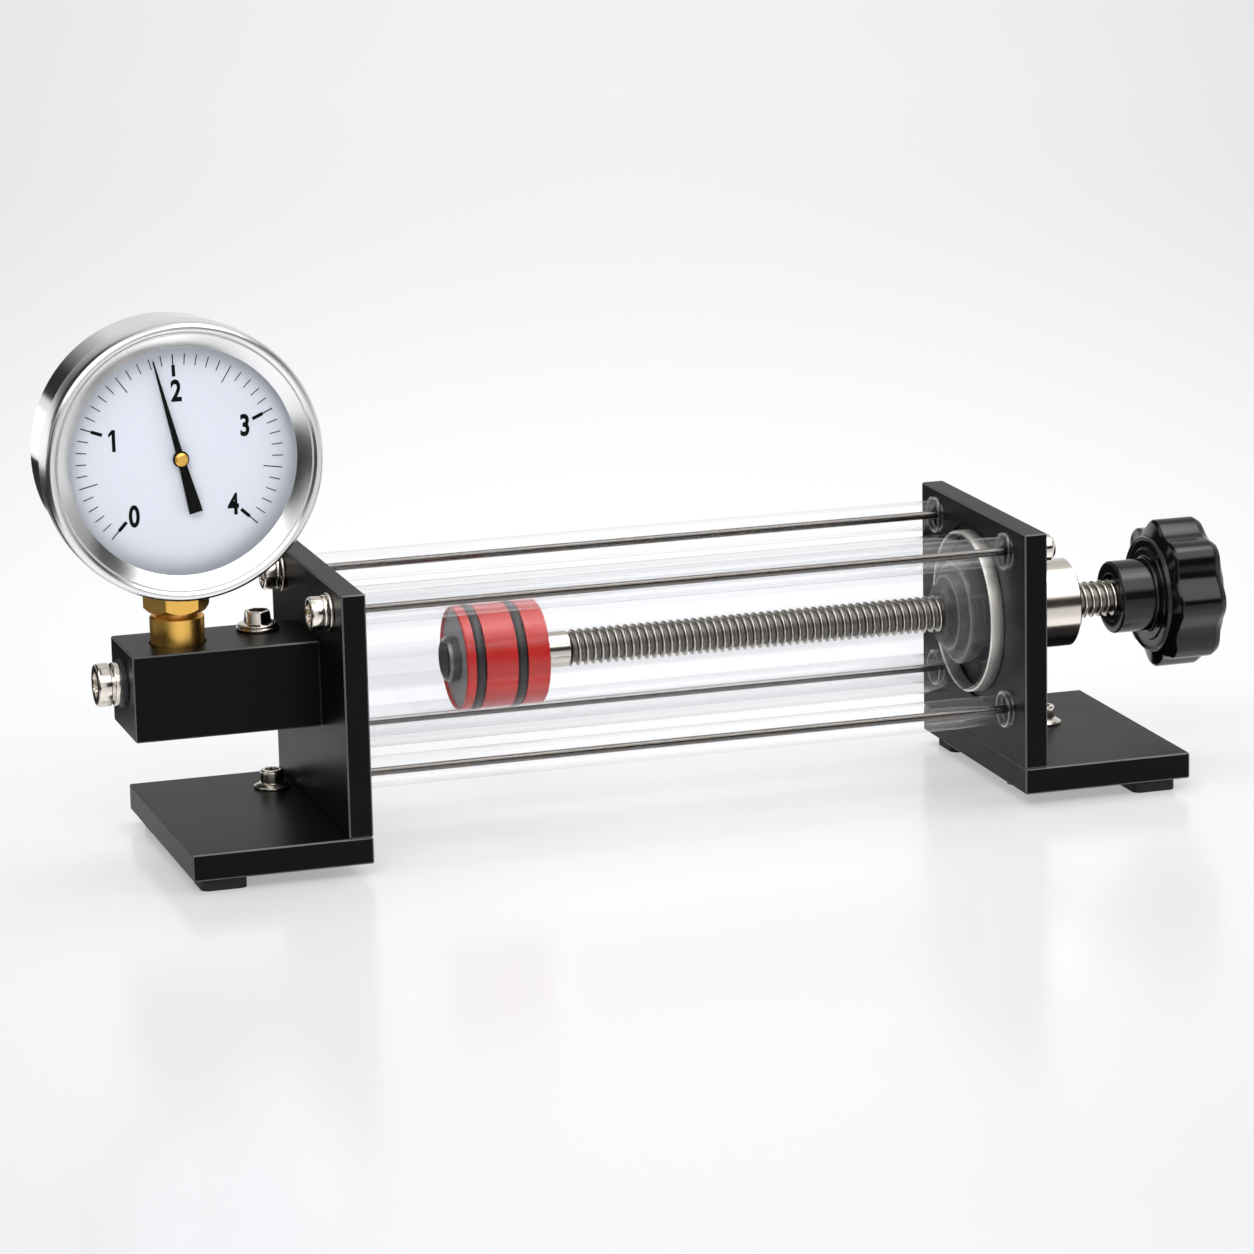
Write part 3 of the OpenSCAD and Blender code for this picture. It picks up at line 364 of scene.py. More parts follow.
def drawn_tube(name, outer_radius, gloss):
    """Clear tube with painted reflections: long regular dark streaks round its front that hold some
    light back.
    """
    f = Finish(name)
    _, y, z = f.axes(f.place((0, 0, AXIS_Z)))
    turn = f.math("ARCTAN2", z, 0.0 - y)
    wide = (f.math("SINE", turn * WIDE_STREAKS + 0.4) * 1.4 + 0.5).clamped()
    fine = (f.math("SINE", turn * FINE_STREAKS + 1.0) * 2.5 + 0.5).clamped()
    front = (0.0 - y).over(0.0, 8.0) * f.radius(y, z).over(outer_radius - 1.0, 0.5)
    # Painted reflections: a darker see-through tint in streaks, only on the tube's front half
    body = f.blend((wide * 0.50 + fine * 0.28) * front, f.through((0.985, 0.987, 0.99)),
                   f.through((0.73, 0.735, 0.745)))
    return f.done(f.blend(f.grazing(4.0) * 0.7 + 0.010, body, f.mirror(gloss)))


def threaded_steel(name, tone, radius, depth):
    """Bright crests over roots darkened with painted shade."""
    f = Finish(name)
    _, y, z = f.axes(f.place((0, 0, AXIS_Z)))
    crest = f.radius(y, z).over(radius - 0.5 * depth, depth)
    fine = f.noise(f.stretched(f.place(), (6.0, 6.0, 6.0)), 1.0, 3.0, 0.6)
    # Painted shade: the base colour falls to a fifth in the thread's roots
    colour = f.mixed(crest, tuple(0.20 * t for t in tone), tone)
    return f.done(f.surface(Base_Color=colour, Metallic=1.0,
                            Roughness=0.34 - 0.20 * crest + 0.08 * fine,
                            Normal=f.bump(fine, 0.10, 0.01)))


def dial_paint(name, tone):
    """Matt dial paint, a little darker towards the rim with painted shade."""
    f = Finish(name)
    x, _, z = f.axes(f.place((GAUGE_X, 0, GAUGE_Z)))
    # Painted shade: the colour darkens to four fifths towards the rim
    rim = f.radius(x, z).over(38.5, 7.0)
    grain = f.noise(f.place(), 2.0, 2.0)
    colour = f.mixed(rim, tone, tuple(0.80 * t for t in tone))
    return f.done(f.surface(Base_Color=colour, Roughness=0.42 + 0.08 * grain,
                            Specular_IOR_Level=0.3))


# Places of the numbers' middles, across and above the needle's axis, in millimetres
NUMBER_PLACES = ((-17.5, -20.3), (-23.8, 7.7), (-0.3, 24.2), (24.3, 9.8), (19.0, -18.7))
FINISHES = {}
SLABS = ("left_upright", "right_upright", "left_base", "right_base", "manifold_block")
# Painted reflection streaks round the tube's full turn
WIDE_STREAKS, FINE_STREAKS = 7, 17
# Tones of the guide cap from its middle (0) to its reach (1), in millimetres; the narrow pale rings
# are painted highlights of its steps
CAP_REACH = 30.0
CAP_RINGS = ((0.24, 0.05), (0.30, 0.16), (0.38, 0.10), (0.45, 0.30), (0.47, 0.55), (0.50, 0.20),
             (0.60, 0.26), (0.62, 0.60), (0.65, 0.22), (0.78, 0.30), (0.80, 0.62), (0.83, 0.28),
             (0.95, 0.34), (1.00, 0.50))


def make_finishes(looks):
    warm = tuple(looks.nickel)
    brass = tuple(looks.brass)
    knob_axis = (0, 0, AXIS_Z)
    gauge_axis = (GAUGE_X, 0, GAUGE_Z)
    stem_axis = (GAUGE_X, 0, 0)
    FINISHES.update({
        **{"enamel_" + slab: black_enamel(slab, tuple(looks.enamel), tuple(looks.worn))
           for slab in SLABS},
        "foot_rubber": moulded("foot_rubber", (0.012, 0.012, 0.013), 0.62, 1.2, 0.05, 0.3),
        "black_rubber": moulded("black_rubber", (0.014, 0.014, 0.015), 0.38, 1.0, 0.02, 0.5),
        "red_plastic": moulded("red_plastic", tuple(looks.piston), 0.22, 0.5, 0.012, 0.5),
        "grey_plastic": moulded("grey_plastic", (0.36, 0.36, 0.37), 0.34, 0.8, 0.02, 0.5),
        "knob_plastic": moulded("knob_plastic", (0.003, 0.003, 0.0033), 0.13, 0.35, 0.008, 0.38),
        "needle_black": moulded("needle_black", (0.004, 0.004, 0.004), 0.35, 1.5, 0.01, 0.08),
        "dial_ink": moulded("dial_ink", (0.005, 0.005, 0.005), 0.5, 2.0, 0.01, 0.05),
        "black_anodised": turned_metal("black_anodised", (0.10, 0.10, 0.105), 0.30, "X",
                                       knob_axis, 2.0, 0.02),
        "dark_grey_metal": turned_metal("dark_grey_metal", (0.24, 0.24, 0.245), 0.26, "X",
                                        knob_axis, 3.0, 0.01),
        "nickel": plated("nickel", warm, 0.11),
        "satin_steel": turned_metal("satin_steel", (0.96, 0.92, 0.87), 0.42, "X", knob_axis,
                                    3.0, 0.01),
        "nickel_turned": turned_metal("nickel_turned", warm, 0.13, "X", knob_axis, 6.0, 0.004),
        "zinc_steel": plated("zinc_steel", (0.55, 0.55, 0.57), 0.25),
        "screw_steel": threaded_steel("screw_steel", tuple(looks.steel), 7.0, 1.5),
        "rod_steel": plated("rod_steel", (0.10, 0.088, 0.078), 0.14),
        "spring_steel": plated("spring_steel", (0.52, 0.52, 0.55), 0.22),
        "brass": turned_metal("brass", brass, 0.30, "Z", stem_axis, 5.0),
        "brass_hub": turned_metal("brass_hub", brass, 0.40, "Y", gauge_axis, 8.0),
        "copper_seal": turned_metal("copper_seal", (0.66, 0.40, 0.14), 0.3, "Z", stem_axis),
        "polished_chrome": turned_metal("polished_chrome", tuple(looks.chrome), 0.06, "Y",
                                        gauge_axis, 8.0, 0.003, 0.02),
        "bezel_steel": turned_metal("bezel_steel", tuple(looks.chrome), 0.21, "Y",
                                    gauge_axis, 8.0, 0.004, 0.03),
        "clear_acrylic": drawn_tube("clear_acrylic", middle("cylinder_tube").z
                                    - low("cylinder_tube").z, 0.02),
        "clear_sleeve": clear("clear_sleeve", (0.975, 0.977, 0.98), 0.03, 0.03, 0.6, 3.0, 0.8),
        "clear_collar": clear("clear_collar", (0.97, 0.972, 0.975), 0.05, 0.05, 0.9, 2.2, 0.5),
        "smoked_acrylic": smoked("smoked_acrylic", CAP_RINGS, 0.50),
        "window_glass": clear("window_glass", (0.985, 0.987, 0.99), 0.02, 0.0, 0.4),
        "dial_white": dial_paint("dial_white", tuple(looks.dial)),
    })


# ---------------------------------------------------------------- shapes

def verts_in(geom):
    return [g for g in geom if isinstance(g, bmesh.types.BMVert)]


def edges_in(geom):
    return [g for g in geom if isinstance(g, bmesh.types.BMEdge)]


def merged(bm, distance=1e-4):
    bmesh.ops.remove_doubles(bm, verts=bm.verts, dist=distance)


def outwards(bm):
    bmesh.ops.recalc_face_normals(bm, faces=bm.faces)


def eased(points, segments=4, closed=False):
    """A profile whose corners with a third value are rounded by that radius."""
    out = []
    n = len(points)
    for i, point in enumerate(points):
        here = Vector(point[:2])
        radius = point[2] if len(point) > 2 else 0
        if not radius or (not closed and i in (0, n - 1)):
            out.append(here)
            continue
        before, after = Vector(points[i - 1][:2]) - here, Vector(points[(i + 1) % n][:2]) - here
        half = before.angle(after) / 2
        reach = min(radius / tan(half), 0.49 * before.length, 0.49 * after.length)
        start, end = here + before.normalized() * reach, here + after.normalized() * reach
        centre = here + (before.normalized() + after.normalized()).normalized() * (
            reach / cos(half))
        first, last = start - centre, end - centre
        sweep = first.angle_signed(last)
        for k in range(segments + 1):
            out.append(centre + Matrix.Rotation(-sweep * k / segments, 2) @ first)
    return out


def lathe(points, closed=False, steps=ROUND, rounding=4):
    """A solid of revolution about Z from [radius, height] points."""
    bm = bmesh.new()
    verts = [bm.verts.new((p[0], 0.0, p[1])) for p in eased(points, rounding, closed)]
    pairs = list(zip(verts, verts[1:])) + ([(verts[-1], verts[0])] if closed else [])
    edges = [bm.edges.new(pair) for pair in pairs]
    bmesh.ops.spin(bm, geom=verts + edges, cent=(0, 0, 0), axis=(0, 0, 1), angle=2 * pi,
                   steps=steps, use_merge=True)
    merged(bm)
    outwards(bm)
    return bm


def ring(outer, inner, length, ease=0.2, steps=ROUND):
    """A tube from height 0 with eased edges."""
    return lathe([(inner / 2, 0, ease), (outer / 2, 0, ease), (outer / 2, length, ease),
                  (inner / 2, length, ease)], closed=True, steps=steps)


def outline(bm, points):
    """A flat face from a few [x, y] points."""
    return bm.faces.new([bm.verts.new((p[0], p[1], 0.0)) for p in points])


def raised(bm, face, height):
    """Extrudes a face straight up and gives the new one."""
    made = bmesh.ops.extrude_face_region(bm, geom=[face])["geom"]
    top = [g for g in made if isinstance(g, bmesh.types.BMFace)]
    bmesh.ops.translate(bm, vec=(0, 0, height), verts=verts_in(made))
    return top[0]


def bevelled(bm, edges, width, segments=2):
    bmesh.ops.bevel(bm, geom=list(edges), offset=width, segments=segments, profile=0.5,
                    affect="EDGES", material=-1)


def sharp_edges(bm, least=SHARP):
    return [e for e in bm.edges if e.is_manifold and e.calc_face_angle() > least]


def joined(parts):
    """One bmesh from several, each with its place."""
    whole = bmesh.new()
    for bm, place in parts:
        bmesh.ops.transform(bm, matrix=place, verts=bm.verts)
        spare = bpy.data.meshes.new("spare")
        bm.to_mesh(spare)
        bm.free()
        whole.from_mesh(spare)
        bpy.data.meshes.remove(spare)
    return whole


def piece(name, bm, place, finish, body, stands_for=()):
    """Puts a shape in its place as a finished object that rides on a body."""
    bmesh.ops.transform(bm, matrix=Matrix.Scale(MM, 4) @ place, verts=bm.verts)
    for face in bm.faces:
        face.smooth = True
    for edge in bm.edges:
        edge.smooth = not (edge.is_manifold and edge.calc_face_angle() > SHARP)
    mesh = bpy.data.meshes.new(name)
    bm.to_mesh(mesh)
    bm.free()
    mesh.materials.append(FINISHES[finish])
    made = bpy.data.objects.new(name, mesh)
    bpy.context.scene.collection.objects.link(made)
    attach(made, body)
    if stands_for:
        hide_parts(*stands_for)


def dress(finish, *nodes):
    """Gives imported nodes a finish, in place of their plain one."""
    for node in nodes:
        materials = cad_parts[node].data.materials
        materials.clear()
        materials.append(FINISHES[finish])


# ---------------------------------------------------------------- settings

class StageSettings(bpy.types.PropertyGroup):
    """The camera, the floor and the lamps."""
    lens: FloatProperty(name="Lens", description="Focal length on a 36 mm sensor",
                        default=143.66, unit="CAMERA")
    yaw: FloatProperty(name="Yaw", description="Turn of the camera to the right of +Y",
                       default=radians(17.235), subtype="ANGLE")
    pitch: FloatProperty(name="Pitch", description="Tilt of the camera downwards",
                         default=radians(13.099), subtype="ANGLE")
    roll: FloatProperty(name="Roll", description="Roll of the camera",
                        default=radians(-1.265), subtype="ANGLE")
    place: FloatVectorProperty(name="Place", description="Where the camera stands",
                               default=(-0.547871, -1.746366, 0.496382),
                               subtype="TRANSLATION", unit="LENGTH")
    floor: FloatVectorProperty(name="Floor", description="Tone of the floor",
                               default=(0.90, 0.905, 0.915), subtype="COLOR")


class LookSettings(bpy.types.PropertyGroup):
    """Colours of the finishes."""
    enamel: FloatVectorProperty(name="Enamel", description="Coat of the plates and the block",
                                default=(0.0022, 0.0022, 0.0024), subtype="COLOR")
    # Painted edge highlight: the lighter colour put along the slabs' bevels
    worn: FloatVectorProperty(name="Rubbed edge", description="Coat along a slab's edges",
                              default=(0.10, 0.10, 0.103), subtype="COLOR")
    nickel: FloatVectorProperty(name="Nickel", description="Plated nut, rings and screws",
                                default=(0.76, 0.70, 0.63), subtype="COLOR")
    steel: FloatVectorProperty(name="Screw steel", description="Lead screw",
                               default=(0.86, 0.80, 0.72), subtype="COLOR")
    brass: FloatVectorProperty(name="Brass", description="Socket, stem and hub",
                               default=(1.0, 0.57, 0.13), subtype="COLOR")
    chrome: FloatVectorProperty(name="Chrome", description="Case and bezel of the gauge",
                                default=(0.80, 0.80, 0.80), subtype="COLOR")
    piston: FloatVectorProperty(name="Piston", description="Piston body",
                                default=(0.56, 0.022, 0.016), subtype="COLOR")
    dial: FloatVectorProperty(name="Dial", description="Paint of the dial",
                              default=(0.655, 0.68, 0.735), subtype="COLOR")


class ScrewSettings(bpy.types.PropertyGroup):
    """The lead screw's thread."""
    pitch: FloatProperty(name="Pitch", description="Pitch of the thread in millimetres",
                         default=3.0)
    depth: FloatProperty(name="Depth", description="Depth of the thread in millimetres",
                         default=1.5)
    steps: IntProperty(name="Steps", description="Faces round one turn", default=48)


class KnobSettings(bpy.types.PropertyGroup):
    """The knob's lobes."""
    lobes: IntProperty(name="Lobes", description="Number of lobes round the rim", default=8)
    hollow: FloatProperty(name="Hollow", description="Depth of a hollow in millimetres",
                          default=3.3)
    hub: FloatProperty(name="Hub", description="Length of the hub in millimetres", default=16.4)


class DialSettings(bpy.types.PropertyGroup):
    """The marks of the dial, in millimetres."""
    outer: FloatProperty(name="Outer radius", description="Outer end of the marks", default=38.0)
    sweep: FloatProperty(name="Sweep", description="Angle of one unit",
                         default=radians(67.5), subtype="ANGLE")
    turned: FloatProperty(name="Turned", description="Turn of the whole scale",
                          default=radians(-1.8), subtype="ANGLE")
    figure: FloatProperty(name="Figure", description="Height of a number", default=7.5)


# ---------------------------------------------------------------- operators

class Piece:
    """What the operators share."""
    bl_options = {"REGISTER", "UNDO"}

    def execute(self, context):
        self.make(context.scene)
        return {"FINISHED"}


class APPARATUS_OT_stage(Piece, bpy.types.Operator):
    """Sets up the floor, the lamps, the world and the camera"""
    bl_idname = "apparatus.stage"
    bl_label = "Stage"

    def make(self, scene):
        stage = scene.apparatus_stage
        scene.view_settings.view_transform = "Standard"
        scene.cycles.transparent_max_bounces = 32
        self.camera(scene, stage)
        self.world(scene)
        self.floor(scene, stage)
        self.lamps(scene)

    def camera(self, scene, stage):
        data = bpy.data.cameras.new("camera")
        data.lens, data.sensor_width = stage.lens, 36.0
        ahead = Vector((sin(stage.yaw) * cos(stage.pitch), cos(stage.yaw) * cos(stage.pitch),
                        -sin(stage.pitch)))
        right = Vector((cos(stage.yaw), -sin(stage.yaw), 0.0))
        up = right.cross(ahead)
        across = cos(stage.roll) * right + sin(stage.roll) * up
        above = -sin(stage.roll) * right + cos(stage.roll) * up
        eye = bpy.data.objects.new("camera", data)
        eye.matrix_world = Matrix.Translation(stage.place) @ Matrix(
            (across, above, -ahead)).transposed().to_4x4()
        scene.collection.objects.link(eye)
        bpy.context.scene.camera = eye

    def world(self, scene):
        """Pale studio for the eye and an even one for light; mirrors see soft boxes and flags."""
        world = bpy.data.worlds.new("studio")
        world.use_nodes = True
        scene.world = world
        tree = world.node_tree
        tree.nodes.clear()
        f = Finish.__new__(Finish)  # the world has its own tree and no material
        f.tree = tree
        x, y, z = f.axes(f.node("ShaderNodeTexCoord").outputs["Generated"])
        light = f.node("ShaderNodeLightPath")
        seen = Wave(f, light.outputs["Is Camera Ray"])
        mirrored = Wave(f, light.outputs["Is Glossy Ray"])
        # Stops run from straight down (0) over the horizon (0.5) to straight up (1)
        height = z * 0.5 + 0.5
        open_front = f.ramp(height, ((0.0, 0.85), (0.70, 0.85), (0.74, 1.4), (0.77, 2.6),
                                     (0.93, 2.6), (0.97, 1.2), (1.0, 1.0)))
        dark_front = f.ramp(height, ((0.0, 0.85), (0.47, 0.85), (0.49, 0.02), (0.67, 0.02),
                                     (0.715, 1.2), (0.77, 2.6), (0.93, 2.6), (0.955, 6.0),
                                     (0.982, 6.0), (0.99, 1.0)))
        sides = (x.over(0.17, 0.1) + 1.0 - x.over(-0.72, 0.2)).clamped()
        right_front = f.ramp(height, ((0.0, 0.85), (0.48, 0.80), (0.52, 0.50), (0.65, 0.42),
                                      (0.69, 0.03), (0.80, 0.03), (0.89, 2.0), (0.95, 2.6),
                                      (1.0, 1.0)))
        front = f.mixed(x.over(0.58, 0.12), f.mixed(sides, open_front, dark_front),
                        right_front)
        back = f.ramp(height, ((0.0, 0.85), (0.50, 0.90), (0.60, 0.80), (0.80, 0.62),
                               (1.0, 0.80)))
        flag = (1.0 - x.over(-0.10, 0.2)) * z.over(0.04, 0.02) * y.over(0.2, 0.2)
        studio = f.mixed(y.over(0.1, 0.5), front, f.mixed(flag, back, (0.03, 0.03, 0.03)))
        plain = f.mixed(z.over(0.0, 0.4), (0.92, 0.93, 0.94), (0.80, 0.81, 0.83))
        ambient = f.mixed(mirrored, (0.55, 0.56, 0.58), studio)
        colour = f.mixed(seen, ambient, plain)
        background = f.node("ShaderNodeBackground", Color=colour, Strength=1.0)
        f.node("ShaderNodeOutputWorld", Surface=background.outputs[0])

    def floor(self, scene, stage):
        """A pale floor that keeps the shadow, with painted shade: darker towards the sides of the
        view and nearer the camera; mirrors see painted reflections on it, dark cards and one white
        card.
        """
        f = Finish("floor")
        light = f.node("ShaderNodeLightPath")
        seen = f.math("MAXIMUM", Wave(f, light.outputs["Is Camera Ray"]),
                      f.math("MAXIMUM", Wave(f, light.outputs["Is Glossy Ray"]),
                             Wave(f, light.outputs["Is Transmission Ray"])))
        x, y, _ = f.axes(f.node("ShaderNodeTexCoord").outputs["Object"])
        across = x * cos(stage.yaw) - y * sin(stage.yaw)
        away = x * sin(stage.yaw) + y * cos(stage.yaw)
        side = across / (away * 0.118 + 0.23)
        mirrored = Wave(f, light.outputs["Is Glossy Ray"])
        # Painted reflection: a white card on the floor that only mirrors see
        bright = mirrored * y.over(0.82, 0.06) * (1.0 - x.over(-0.25, 0.1))
        # Painted shade: the glow is darker towards the sides of the view and nearer the camera
        tone = (0.965 - 0.16 * (side * side * 0.75).clamped()
                - 0.26 * (1.0 - away.over(-0.14, 0.60))
                + 0.8 * bright)
        shade = f.node("ShaderNodeCombineXYZ", i0=tone, i1=tone, i2=tone * 1.008).outputs[0]
        # The painted dark cards' places, in metres: dark patches that only mirrors see, as painted
        # reflections
        gap = x.over(-0.21, 0.02) * (1.0 - x.over(-0.09, 0.02)) * y.over(0.43, 0.02)
        behind = y.over(0.20, 0.03) * (1.0 - y.over(0.78, 0.03)) * (1.0 - x.over(0.22, 0.1)) * (
            1.0 - gap)
        beside = (1.0 - x.over(-0.42, 0.08)) * (1.0 - y.over(0.20, 0.03))
        card = (behind + beside).clamped() * mirrored
        share = seen * (0.55 + 0.28 * away.over(1.3, 1.8))
        black = (0.02,) * 3
        matt = f.node("ShaderNodeBsdfDiffuse", Color=tuple(stage.floor)).outputs[0]
        glow = f.node("ShaderNodeEmission", Color=f.mixed(card, shade, black),
                      Strength=1.0).outputs[0]
        plain = f.blend((share + card).clamped(), matt, glow)
        both = f.blend((1.0 - 0.8 * card) * 0.17, plain, f.mirror(0.19))
        bm = bmesh.new()
        bmesh.ops.create_grid(bm, x_segments=1, y_segments=1, size=30.0)
        mesh = bpy.data.meshes.new("floor")
        bm.to_mesh(mesh)
        bm.free()
        mesh.materials.append(f.done(both))
        floor = bpy.data.objects.new("floor", mesh)
        scene.collection.objects.link(floor)

    def lamps(self, scene):
        self.lamp(scene, "key", (-0.7, -1.3, 1.5), (0.0, 0.0, 0.06), 1.5, 0.9, 24)
        self.lamp(scene, "fill", (1.5, -0.9, 0.8), (0.05, 0.0, 0.06), 0.9, 0.9, 7)
        self.lamp(scene, "top", (0.1, 0.4, 1.6), (0.0, 0.0, 0.05), 1.8, 1.0, 16)

    def lamp(self, scene, name, place, target, wide, deep, power):
        data = bpy.data.lights.new(name, "AREA")
        data.shape, data.size, data.size_y, data.energy = "RECTANGLE", wide, deep, power
        lamp = bpy.data.objects.new(name, data)
        lamp.location = place
        lamp.rotation_euler = (Vector(target) - Vector(place)).to_track_quat("-Z", "Y").to_euler()
        lamp.visible_glossy = False
        scene.collection.objects.link(lamp)


class APPARATUS_OT_frame(Piece, bpy.types.Operator):
    """Finishes the uprights, the bases, the feet and their hidden screws"""
    bl_idname = "apparatus.frame"
    bl_label = "Plates and feet"

    def make(self, scene):
        for slab in SLABS:
            dress("enamel_" + slab, slab)
        dress("foot_rubber", "feet")
        dress("zinc_steel", "upright_screws", "block_screws")


def screw_head(profile, recess, depth):
    """A turned head with a lobed recess in its top face."""
    top = profile[-1][1]
    bm = lathe([(recess / 2 + 0.01, top)] + list(reversed(profile[:-1])), steps=72)
    outer = [e for e in bm.edges if e.is_boundary and abs(e.verts[0].co.z - top) < 1e-3]
    walls = bmesh.ops.extrude_edge_only(bm, edges=outer)["geom"]
    for v in verts_in(walls):
        turn = Vector((1, 0)).angle_signed(v.co.to_2d())
        v.co.xy *= 1 - 0.18 * (0.5 - 0.5 * cos(RECESS_LOBES * turn))
        v.co.z = top - 0.25
    inner = [e for e in edges_in(walls) if e.is_boundary]
    down = bmesh.ops.extrude_edge_only(bm, edges=inner)["geom"]
    for v in verts_in(down):
        v.co.z = top - depth
        v.co.xy *= 0.96
    bmesh.ops.contextual_create(bm, geom=[e for e in edges_in(down) if e.is_boundary])
    merged(bm)
    outwards(bm)
    return bm


class APPARATUS_OT_fasteners(Piece, bpy.types.Operator):
    """Makes the base screws, the tie bolts with their washers and the cap nuts"""
    bl_idname = "apparatus.fasteners"
    bl_label = "Fasteners"

    def make(self, scene):
        self.base_screws()
        self.tie_bolts()
        self.washers()
        self.cap_nuts()
        dress("rod_steel", "lower_tie_studs")

    def base_screws(self):
        box_low, box_high = low("base_screws"), high("base_screws")
        places = [(box_low.x + 7, box_high.y - 7), (box_high.x - 7, box_low.y + 7)]
        parts = []
        for x, y in places:
            head = screw_head([(0, 2), (4.4, 1.9, 0.4), (4.4, 7.0, 0.7), (0, 7.0)], 5.6, 3.0)
            flange = lathe([(0, 0), (7.0, 0, 0.3), (7.0, 0.9, 0.35), (5.0, 2.0, 0.6), (4.2, 2.2),
                            (0, 2.2)])
            parts += [(head, upright_at(x, y, BASE_TOP)), (flange, upright_at(x, y, BASE_TOP))]
        piece("base_screw_heads", joined(parts), Matrix(), "nickel", "frame",
              ("base_screws",))

    def tie_bolts(self):
        bolt_low, bolt_high = low("upper_tie_bolts"), high("upper_tie_bolts")
        head_l = low("tie_spring_washers").x - bolt_low.x
        heads, rods = [], []
        for y in (-ROD_Y, ROD_Y):
            turn = Matrix.Rotation(pi, 4, "Y")
            head = screw_head([(0, 0), (6.2, 0, 0.3), (6.2, head_l, 1.0), (0, head_l)], 7.6, 2.4)
            heads.append((head, along_x(bolt_low.x + head_l, y, UPPER_Z) @ turn))
            rod = lathe([(0, 0), (ROD_D / 2, 0), (ROD_D / 2, bolt_high.x - bolt_low.x - head_l),
                         (0, bolt_high.x - bolt_low.x - head_l)], steps=48)
            rods.append((rod, along_x(bolt_low.x + head_l, y, UPPER_Z)))
        piece("tie_bolt_heads", joined(heads), Matrix(), "nickel", "frame",
              ("upper_tie_bolts",))
        piece("tie_bolt_rods", joined(rods), Matrix(), "rod_steel", "frame")

    def washers(self):
        """Split spring washers, each a square wire through most of a turn."""
        spring_low, spring_high = low("tie_spring_washers"), high("tie_spring_washers")
        outer = (spring_high.z - spring_low.z) / 2
        inner = ROD_D / 2 + 0.8
        thick = spring_high.x - spring_low.x
        wire, gap, steps = 1.25, radians(14), 60
        parts = []
        for y in (-ROD_Y, ROD_Y):
            bm = bmesh.new()
            section = [(inner, 0), (outer, 0), (outer, wire), (inner, wire)]
            face = bm.faces.new([bm.verts.new((r, 0, h)) for r, h in section])
            bmesh.ops.spin(bm, geom=[face], cent=(0, 0, 0), axis=(0, 0, 1),
                           dvec=(0, 0, (thick - wire) / steps), angle=2 * pi - gap,
                           steps=steps)
            outwards(bm)
            bevelled(bm, sharp_edges(bm), 0.18)
            bmesh.ops.rotate(bm, cent=(0, 0, 0), matrix=Matrix.Rotation(radians(200), 3, "Z"),
                             verts=bm.verts)
            parts.append((bm, along_x(spring_low.x, y, UPPER_Z)))
        piece("spring_washers", joined(parts), Matrix(), "nickel", "frame",
              ("tie_spring_washers",))
        flat_low, flat_high = low("tie_flat_washers"), high("tie_flat_washers")
        parts = [(ring(flat_high.z - flat_low.z, ROD_D + CLEARANCE, flat_high.x - flat_low.x, 0.25),
                  along_x(flat_low.x, y, UPPER_Z)) for y in (-ROD_Y, ROD_Y)]
        piece("flat_washers", joined(parts), Matrix(), "nickel", "frame",
              ("tie_flat_washers",))

    def cap_nuts(self):
        wide = (high("cap_nuts").z - low("cap_nuts").z) / 2
        tall = high("cap_nuts").x - RIGHT_OUTER
        parts = [(lathe([(0, 0), (wide, 0, 0.2), (wide, tall - 1.6, 0.9), (wide - 1.5, tall, 0.6),
                         (0, tall)]), along_x(RIGHT_OUTER, y, UPPER_Z))
                 for y in (-ROD_Y, ROD_Y)]
        piece("round_cap_nuts", joined(parts), Matrix(), "nickel", "frame",
              ("cap_nuts",))


